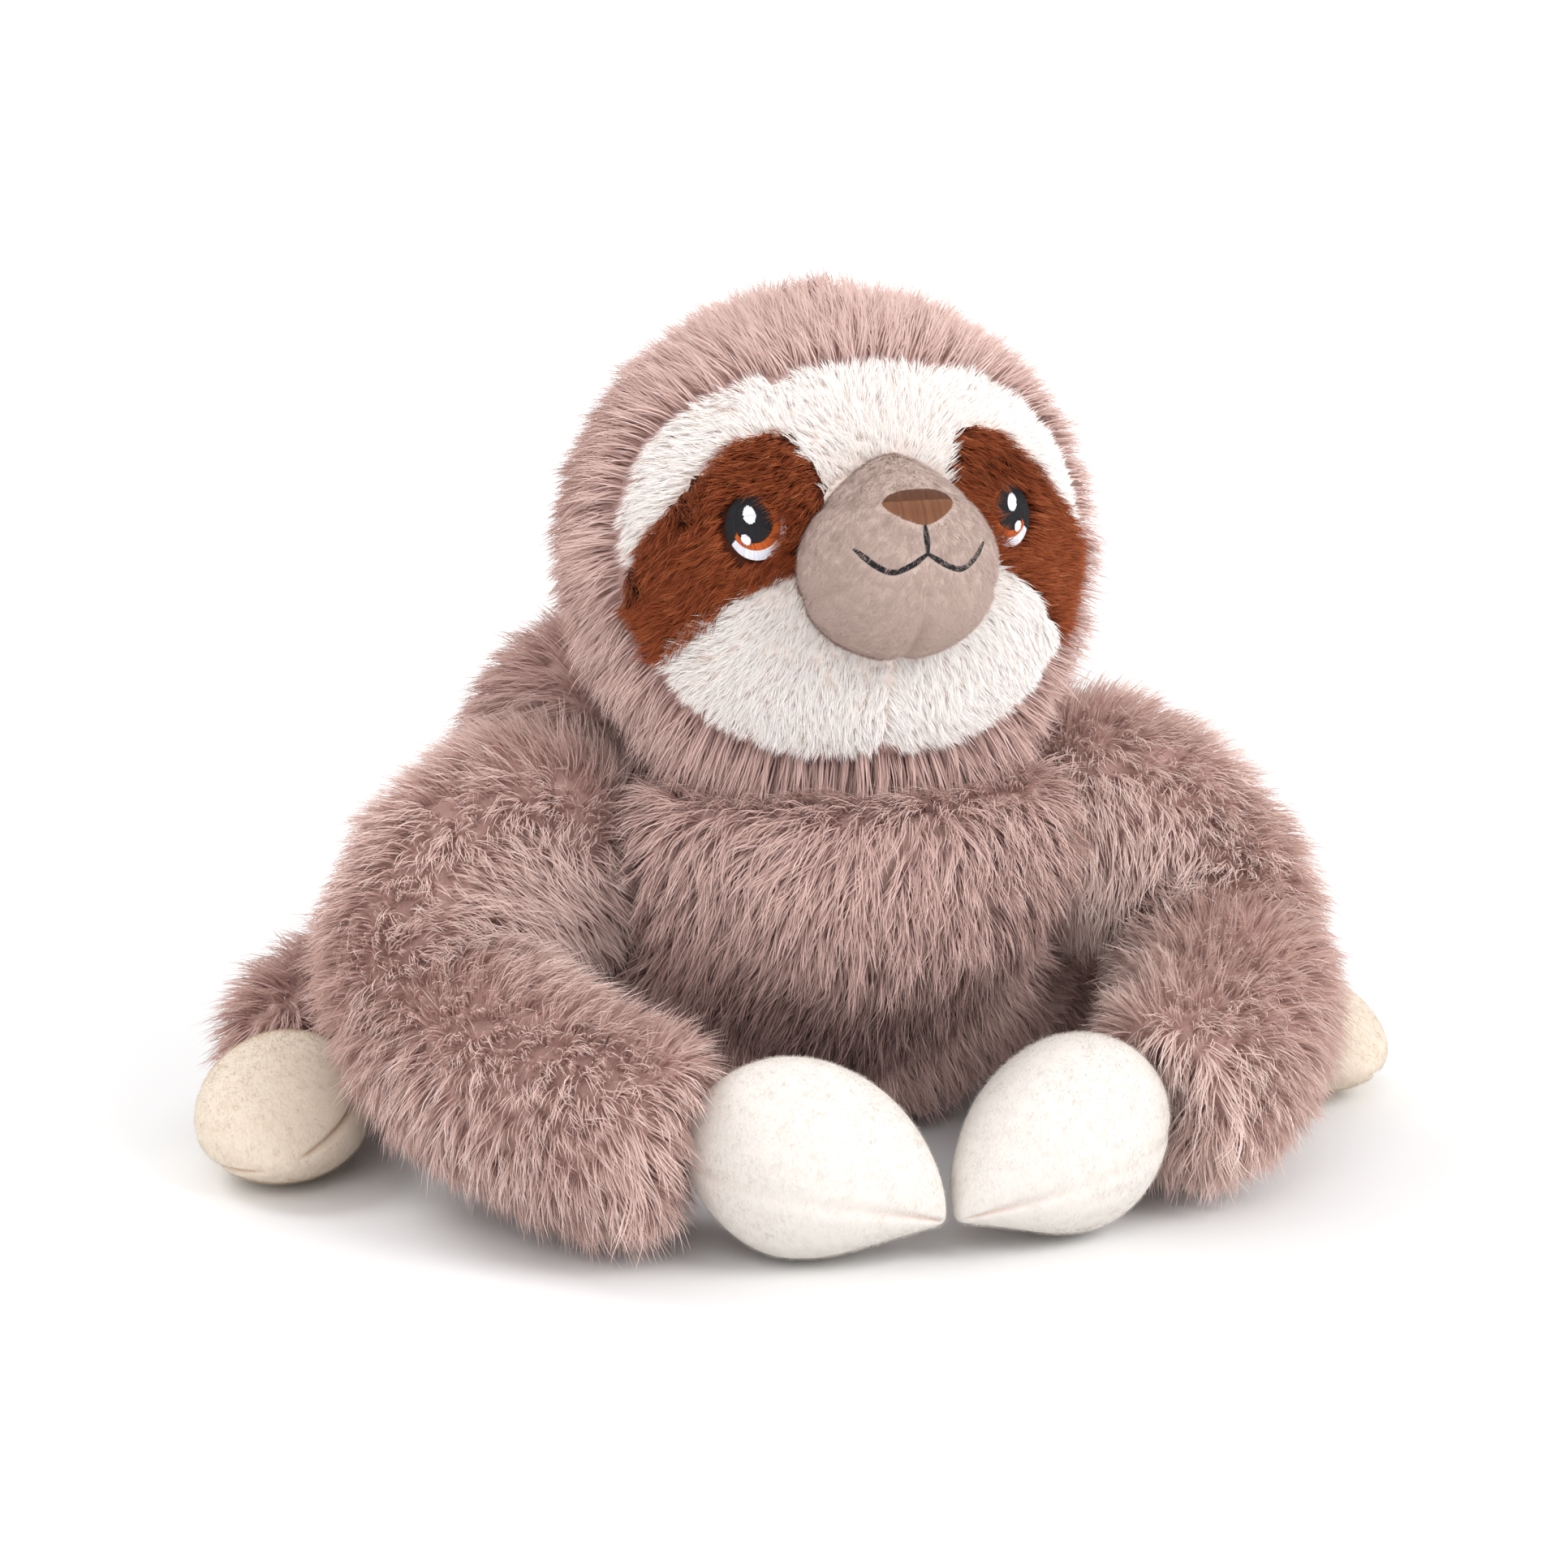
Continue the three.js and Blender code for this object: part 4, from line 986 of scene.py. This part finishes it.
def sewThreads(name, threads, surface, width, height, material, tones):
    rows, columns = 7, 5
    shares = np.linspace(0, 1, rows)
    angles = np.linspace(0, math.pi, columns)
    points, uvs = [], []
    for (start, end), tone in zip(threads, tones):
        start, end = np.array(start, float), np.array(end, float)
        along = end - start
        length = max(np.hypot(*along), 1e-6)
        across = np.array((-along[1], along[0])) / length
        for share in shares:
            middle = start + along * share
            rise = height * (0.25 + 0.75 * math.sin(math.pi * min(max(share, 0.0), 1.0)) ** 0.35)
            for angle in angles:
                xy = middle + across * math.cos(angle) * width / 2
                z = surface(xy[0], xy[1]) + rise * math.sin(angle) - 0.12
                points.append((xy[0], xy[1], z))
                uvs.append((tone, 0.02 + 0.96 * share))
    corners, counts, uv = [], [], []
    for k in range(len(threads)):
        base = k * rows * columns
        for i in range(rows - 1):
            for j in range(columns - 1):
                a = base + i * columns + j
                quad = (a, a + 1, a + columns + 1, a + columns)
                corners += quad
                counts.append(4)
                uv += [(uvs[q][0] + 0.01 * ((q - base) % columns - 2), uvs[q][1]) for q in quad]
    piece = meshPiece(name, fromHead(points), corners, counts, uv, material)
    only(piece)
    bpy.ops.object.mode_set(mode="EDIT")
    bpy.ops.mesh.select_all(action="SELECT")
    bpy.ops.mesh.normals_make_consistent(inside=False)
    bpy.ops.object.mode_set(mode="OBJECT")
    return piece


def satin(loop, angle, pitch):
    # parallel threads across a closed outline, as (start, end) pairs
    turn = np.array(((math.cos(angle), math.sin(angle)), (-math.sin(angle), math.cos(angle))))
    p = np.asarray(loop) @ turn.T
    threads = []
    low, high = p[:, 1].min(), p[:, 1].max()
    for y in np.arange(low + pitch / 2, high, pitch):
        hits = []
        for (x1, y1), (x2, y2) in zip(p, np.roll(p, -1, 0)):
            if (y1 > y) != (y2 > y):
                hits.append(x1 + (x2 - x1) * (y - y1) / (y2 - y1))
        hits.sort()
        for first, last in zip(hits[::2], hits[1::2]):
            if last - first > 0.25:
                wobble = random.normal(size=2) * 0.06
                pair = np.array(((first + wobble[0], y), (last + wobble[1], y))) @ turn
                threads.append((tuple(pair[0]), tuple(pair[1])))
    return threads


def rays(inner, outer, fromAngle, toAngle, pitch):
    # threads from an inner to an outer ellipse, each (x, y, half width, half height)
    length = abs(toAngle - fromAngle) * (outer[2] + outer[3]) / 2
    threads = []
    for angle in np.linspace(fromAngle, toAngle, max(3, int(length / pitch))):
        ends = []
        for x, y, wide, tall in (inner, outer):
            ends.append((x + wide * math.cos(angle), y + tall * math.sin(angle)))
        threads.append(tuple(ends))
    return threads


def ellipse(x, y, wide, tall, turn=0.0, steps=40):
    t = np.linspace(0, 2 * math.pi, steps, endpoint=False)
    px, py = wide * np.cos(t), tall * np.sin(t)
    return np.stack([x + px * math.cos(turn) - py * math.sin(turn),
                     y + px * math.sin(turn) + py * math.cos(turn)], axis=1)


def tonesFor(threads, middle=0.5, size=0.16):
    return np.clip(middle + size * random.normal(size=len(threads)), 0.05, 0.95)


def sewn(name, threads, surface, material, replaced, width=0.46, height=0.26, middle=0.5):
    piece = sewThreads(name, threads, surface, width, height, finishes[material], tonesFor(threads, middle))
    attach(piece, "head")
    if replaced:
        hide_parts(*replaced)
    return piece


def faceHeight(lift):
    def height(x, y):
        radii = head["face"]
        inner = max(1 - (x / radii.x) ** 2 - (y / radii.y) ** 2, 0.0)
        return (radii.z + lift) * math.sqrt(inner)

    return height


eye = {
    "whole": (0, 0, 6.9, 8.3), "white": (0.2, -0.4, 6.6, 7.9), "iris": (0, 0.2, 5.6, 6.1),
    "pupil": (-0.6, 1.2, 4.3, 5.2), "light": (-1.5, 2.9, 1.4, 2.2), "spark": (-2.7, -3.1, 0.9, 1.4),
    "lift": -0.6, "pitch": 0.36,
}


def makeEye(name, side):
    def put(x, y):
        return (side * (eyeAt[0] - x), eyeAt[1] + y)

    def placed(threads):
        return [(put(*start), put(*end)) for start, end in threads]

    pitch = eye["pitch"]
    base, top = faceHeight(eye["lift"]), faceHeight(eye["lift"] + 0.35)
    highest = faceHeight(eye["lift"] + 0.7)
    white = rays(eye["iris"], eye["white"], math.radians(22), math.radians(-155), pitch)
    iris = rays(eye["pupil"], eye["iris"], math.radians(80), math.radians(-160), pitch)
    lid = rays(eye["iris"], eye["whole"], math.radians(68), math.radians(208), pitch)
    lid += rays(eye["pupil"], eye["iris"], math.radians(78), math.radians(202), pitch)
    pupil = satin(ellipse(*eye["pupil"]), math.radians(90), pitch)
    sewn("eye_white_thread_" + name, placed(white), base, "white", ["eye_white_" + name])
    sewn("eye_iris_thread_" + name, placed(iris), base, "orange", ["eye_iris_" + name])
    sewn("eye_lid_thread_" + name, placed(lid), top, "black", ["eye_lid_and_pupil_" + name])
    sewn("eye_pupil_thread_" + name, placed(pupil), top, "black", [])
    light = satin(ellipse(*eye["light"], turn=0.1), math.radians(0), 0.32)
    spark = satin(ellipse(*eye["spark"], turn=0.5), math.radians(0), 0.32)
    sewn("eye_light_thread_" + name, placed(light), highest, "white",
         ["eye_highlight_" + name], middle=0.85)
    sewn("eye_spark_thread_" + name, placed(spark), highest, "white",
         ["eye_sparkle_" + name], middle=0.85)


for name, side in sides.items():
    makeEye(name, side)

def makeNose():
    loop = noseLoop()
    split = nose["middle"][1] + nose["halfTall"] * nose["bandShare"]
    threads = satin(loop, math.radians(90), 0.36)
    lower, upper = [], []
    for start, end in threads:
        low, high = sorted((start, end), key=lambda p: p[1])
        if high[1] > split > low[1]:
            lower.append((low, (high[0], split)))
            upper.append(((low[0], split), high))
        else:
            (upper if low[1] > split else lower).append((low, high))
    sewn("nose_thread", lower, lambda x, y: egg(-0.15, x, y), "nose", ["nose_satin"])
    sewn("nose_band_thread", upper, lambda x, y: egg(-0.25, x, y), "noseBand",
         ["nose_band"])


def strokeThreads(line, width, pitch):
    # short stitches across a line
    line = np.asarray(line, float)
    gaps = np.hypot(*np.diff(line, axis=0).T)
    marks = np.concatenate(([0], np.cumsum(gaps)))
    threads = []
    for s in np.arange(0, marks[-1], pitch):
        i = min(np.searchsorted(marks, s, side="right") - 1, len(gaps) - 1)
        share = (s - marks[i]) / gaps[i]
        middle = line[i] + (line[i + 1] - line[i]) * share
        along = (line[i + 1] - line[i]) / gaps[i]
        across = np.array((-along[1], along[0])) * 0.9 + along * 0.45
        taper = min(1.0, 0.45 + 0.55 * min(s, marks[-1] - s) / 2.5)
        half = across * width / 2 * taper
        threads.append((tuple(middle - half), tuple(middle + half)))
    return threads


def makeMouth():
    threads = []
    for line in mouthLines():
        threads += strokeThreads(line, nose["stroke"], 0.3)
    sewn("mouth_thread", threads, lambda x, y: egg(-0.1, x, y), "black", ["mouth_line"],
         width=0.42, height=0.34)


makeNose()
makeMouth()
print("embroidery ready")


# Pile of the torso

def torsoComb(points, out):
    way = np.zeros_like(points)
    way[:, 2] = -1
    way[:, 0] = 5 * points[:, 0]
    way[:, 1] = np.where(points[:, 1] < plumbLine, -0.1, 0.45)
    return way


# painted light: the pile is lighter where it faces up and darker where it faces down, and painted shade darkens
# the low front under the chest
def bodyPaintedShading(points, out):
    under = np.clip((0.085 - points[:, 2]) / 0.07, 0, 1) * (points[:, 1] < plumbLine)
    return 0.07 * out[:, 2] - 0.45 * under


# painted light: the pile is lighter where it faces up and darker where it faces down
def limbPaintedShading(points, out):
    return 0.07 * out[:, 2]


def hiddenSeat(points, out):
    # the bowl under the head and the sockets of the limbs hold no pile
    neck = np.array(place(0, 20, 112))
    hidden = (np.hypot(points[:, 0], points[:, 1] - neck[1]) < 0.042) & (points[:, 2] > 0.07) & (out[:, 2] > 0.3)
    for name in sides:
        hidden |= np.linalg.norm(points - shoulders[name], axis=1) < 0.0385
        hidden |= np.linalg.norm(points - hips[name], axis=1) < 0.0325
    return hidden


bodyPile = dict(hoodPile)
bodyPile.update({"clumps": 0.28, "each": 5, "length": 11.5, "lean": 0.42, "stray": 0.45, "tone": 0.42,
                 "width": 0.48, "shade": bodyPaintedShading,
                 "under": ["head", "arm_left", "arm_right", "leg_left", "leg_right"]})
del bodyPile["longer"]
del bodyPile["flatter"]
sideSeam = plumbLine + 24 * mm


def chestFlatter(points, out):
    high = np.clip((points[:, 2] - 0.082) / 0.012, 0, 1) * (points[:, 1] < plumbLine + 0.02)
    return 0.4 * high * np.clip((0.06 - np.abs(points[:, 0])) / 0.02, 0, 1)


torsoPile = dict(bodyPile)
torsoPile["flatter"] = chestFlatter
for name, test in (
    ("back_fur_left", lambda p, out: (p[:, 1] > sideSeam) & (p[:, 0] >= 0)),
    ("back_fur_right", lambda p, out: (p[:, 1] > sideSeam) & (p[:, 0] < 0)),
    ("chest_fur", lambda p, out: p[:, 1] <= sideSeam),
):
    def keepTorso(points, out, test=test):
        seat = (out[:, 2] < -0.8) & (points[:, 2] < 0.014)
        return test(points, out) & ~seat & ~hiddenSeat(points, out)

    growPile(name, torsoSkin, "torso", torsoPile, finishes["fur"], torsoComb, keepTorso)
seatPile = dict(bodyPile)
seatPile.update({"clumps": 0.12, "length": 9, "width": 0.8})
growPile("seat_fur", torsoSkin, "torso", seatPile, finishes["fur"], torsoComb,
         lambda p, out: (out[:, 2] < -0.8) & (p[:, 2] < 0.014))
neckPile = dict(bodyPile)
neckPile.update({"length": 14, "lean": 0.2, "under": [], "tone": 0.4})
growPile("neck_fur", neckSkin, "neck", neckPile, finishes["fur"], torsoComb,
         lambda p, out: (p[:, 1] < plumbLine + 0.02) & (np.abs(out[:, 2]) < 0.6))
print("torso ready")


# Pile of the arms and legs

def limbPile(under, into, tone):
    look = dict(bodyPile)
    look.update({"under": under, "into": into, "intoDepth": 0, "shade": limbPaintedShading, "tone": tone})
    return look


for name, side in sides.items():
    elbow = np.array(place(side * 104, 8, 46))
    knee = np.array(place(side * 116, 88, 28))
    ankle = np.array(place(side * 134, 60, 23))
    upper, lower = unit(elbow - shoulders[name]), unit(wrists[name] - elbow)

    def armComb(points, out, upper=upper, lower=lower, elbow=elbow):
        share = np.clip((points[:, 1] - elbow[1]) / 0.02 + 0.5, 0, 1)[:, None]
        return upper * share + lower * (1 - share) + np.array((0, 0, -0.3))

    def legComb(points, out, along=unit(ankle - hips[name])):
        return np.broadcast_to(along, points.shape) + np.array((0, 0, -0.3))

    arm, leg = "arm_" + name, "leg_" + name
    # painted light: the arms' fur gets a lighter tone than the torso's, the left arm on the key lamp's side
    # lightest, for the light falling on them
    look = limbPile(["torso", "head"], ["hand_" + name], 0.92 if name == "left" else 0.74)
    wrist = wrists[name]

    def nearElbow(points, elbow=elbow, wrist=wrist, shoulder=shoulders[name]):
        return (points - elbow) @ unit(wrist - shoulder) > -0.004

    def nearCuff(points, wrist=wrist, lower=lower):
        return np.clip(1 + (points - wrist) @ lower / 0.014, 0, 1)

    # the pile of the cuff is brushed over the hand
    sleeve = dict(look)
    sleeve["longer"] = lambda p, out, near=nearCuff: 1 + 0.45 * near(p)
    sleeve["flatter"] = lambda p, out, near=nearCuff: 0.12 * near(p)
    growPile("forearm_fur_" + name, limbSkins[arm], arm, sleeve, finishes["fur"], armComb,
             lambda p, out: nearElbow(p))
    growPile("upper_arm_fur_" + name, limbSkins[arm], arm, look, finishes["fur"], armComb,
             lambda p, out: ~nearElbow(p))
    look = limbPile(["torso", "arm_" + name], ["foot_" + name], 0.45)
    growPile("leg_fur_" + name, limbSkins[leg], leg, look, finishes["fur"], legComb)
print("limbs ready")


# Short pile of the hands and feet

podPile = dict(creamPile)
podPile.update({"clumps": 0.8, "each": 4, "length": 1.2, "width": 0.12, "lean": 0.72, "clumping": 0.1, "roll": 0.1,
                "clumpSize": 1.4, "sink": 0.1, "steps": 1, "tone": 0.6, "slot": "paw_velvet", "stray": 0.1,
                "toneSpread": 0.03, "strandTone": 0.05,
                "seamLimit": 0.25, "cover": 3})


def podComb(points, out):
    return np.broadcast_to(np.array((0.0, -0.5, -0.6)), points.shape)


for name in sides:
    look = dict(podPile)
    look["under"] = ["arm_" + name]
    growPile("hand_pile_" + name, pods["hand_" + name], "hand_" + name, look, finishes["pawPile"], podComb)
    look["under"] = ["arm_" + name, "leg_" + name]
    growPile("foot_pile_" + name, pods["foot_" + name], "leg_" + name, look, finishes["footPile"], podComb)


# Floor, lights and camera

stage = {"size": 60.0, "floorColour": (0.9, 0.9, 0.9), "floorGlow": 0.4, "worldLight": 0.85}


def makeFloor():
    bpy.ops.object.select_all(action="DESELECT")
    bpy.ops.mesh.primitive_plane_add(size=stage["size"], location=(0, 0, 0))
    floor = bpy.context.active_object
    floor.name = "floor"
    made = Finish("floor")
    made.put("Base Color", stage["floorColour"])
    made.put("Roughness", 0.9)
    made.put("Specular IOR Level", 0.1)
    seen = made.node("LightPath", {}, {}, "Is Camera Ray")
    at = made.node("TexCoord", {}, {}, "Object")
    away = made.node("VectorMath", {"operation": "LENGTH"}, {0: at}, "Value")
    far = made.node("MapRange", {}, {"Value": away, "From Min": 0.6, "From Max": 2.5}, 0)
    made.put("Emission Color", (1.0, 1.0, 1.0))
    glow = made.node("Emission", {}, {"Color": (1.0, 1.0, 1.0), "Strength": seen * far * stage["floorGlow"]}, 0)
    both = made.tree.nodes.new("ShaderNodeAddShader")
    made.tree.links.new(made.shader.outputs[0], both.inputs[0])
    made.tree.links.new(glow.socket, both.inputs[1])
    output = made.tree.nodes["Material Output"]
    made.tree.links.new(both.outputs[0], output.inputs["Surface"])
    floor.data.materials.append(made.material)


def makeWorld():
    world = bpy.data.worlds.new("studio")
    bpy.context.scene.world = world
    world.use_nodes = True
    tree = world.node_tree
    seen = tree.nodes.new("ShaderNodeLightPath")
    back = tree.nodes["Background"]
    back.inputs["Color"].default_value = (1, 1, 1, 1)
    back.inputs["Strength"].default_value = stage["worldLight"]
    white = tree.nodes.new("ShaderNodeBackground")
    white.inputs["Strength"].default_value = 1.0
    pick = tree.nodes.new("ShaderNodeMixShader")
    tree.links.new(seen.outputs["Is Camera Ray"], pick.inputs[0])
    tree.links.new(back.outputs[0], pick.inputs[1])
    tree.links.new(white.outputs[0], pick.inputs[2])
    tree.links.new(pick.outputs[0], tree.nodes["World Output"].inputs["Surface"])


def makeLamp(name, location, target, size, power):
    lamp = bpy.data.objects.new(name, bpy.data.lights.new(name, "AREA"))
    lamp.data.shape = "DISK"
    lamp.data.size = size
    lamp.data.energy = power
    lamp.location = location
    lamp.rotation_euler = (Vector(target) - Vector(location)).to_track_quat("-Z", "Y").to_euler()
    bpy.context.scene.collection.objects.link(lamp)


makeFloor()
makeWorld()
makeLamp("key", (3.0, -3.3, 3.2), (0, 0, 0.1), 3.0, 142)
makeLamp("fill", (-2.0, -4.0, 3.0), (0, 0, 0.1), 3.0, 60)
makeLamp("rim", (-2.4, 2.8, 3.8), (0, 0, 0.12), 2.4, 80)

photo = {"azimuth": -17, "elevation": 12.5, "distance": 1.25, "right": -16.6, "up": 99.5, "lens": 110.9}


def makeCamera():
    a, e = math.radians(photo["azimuth"]), math.radians(photo["elevation"])
    right = Vector((math.cos(a), math.sin(a), 0))
    up = Vector((-math.sin(a) * math.sin(e), math.cos(a) * math.sin(e), math.cos(e)))
    back = Vector((math.sin(a) * math.cos(e), -math.cos(a) * math.cos(e), math.sin(e)))
    target = (right * photo["right"] + up * photo["up"]) * mm + Vector((0, plumbLine, 0))
    camera = bpy.data.objects.new("camera", bpy.data.cameras.new("camera"))
    camera.data.lens = photo["lens"]
    camera.data.sensor_width = 36
    camera.data.clip_end = 40
    turn = Matrix((right, up, back)).transposed().to_4x4()
    camera.matrix_world = Matrix.Translation(target + back * photo["distance"]) @ turn
    bpy.context.scene.collection.objects.link(camera)
    bpy.context.scene.camera = camera


makeCamera()
bpy.context.scene.view_settings.view_transform = "Standard"
print("scene ready")
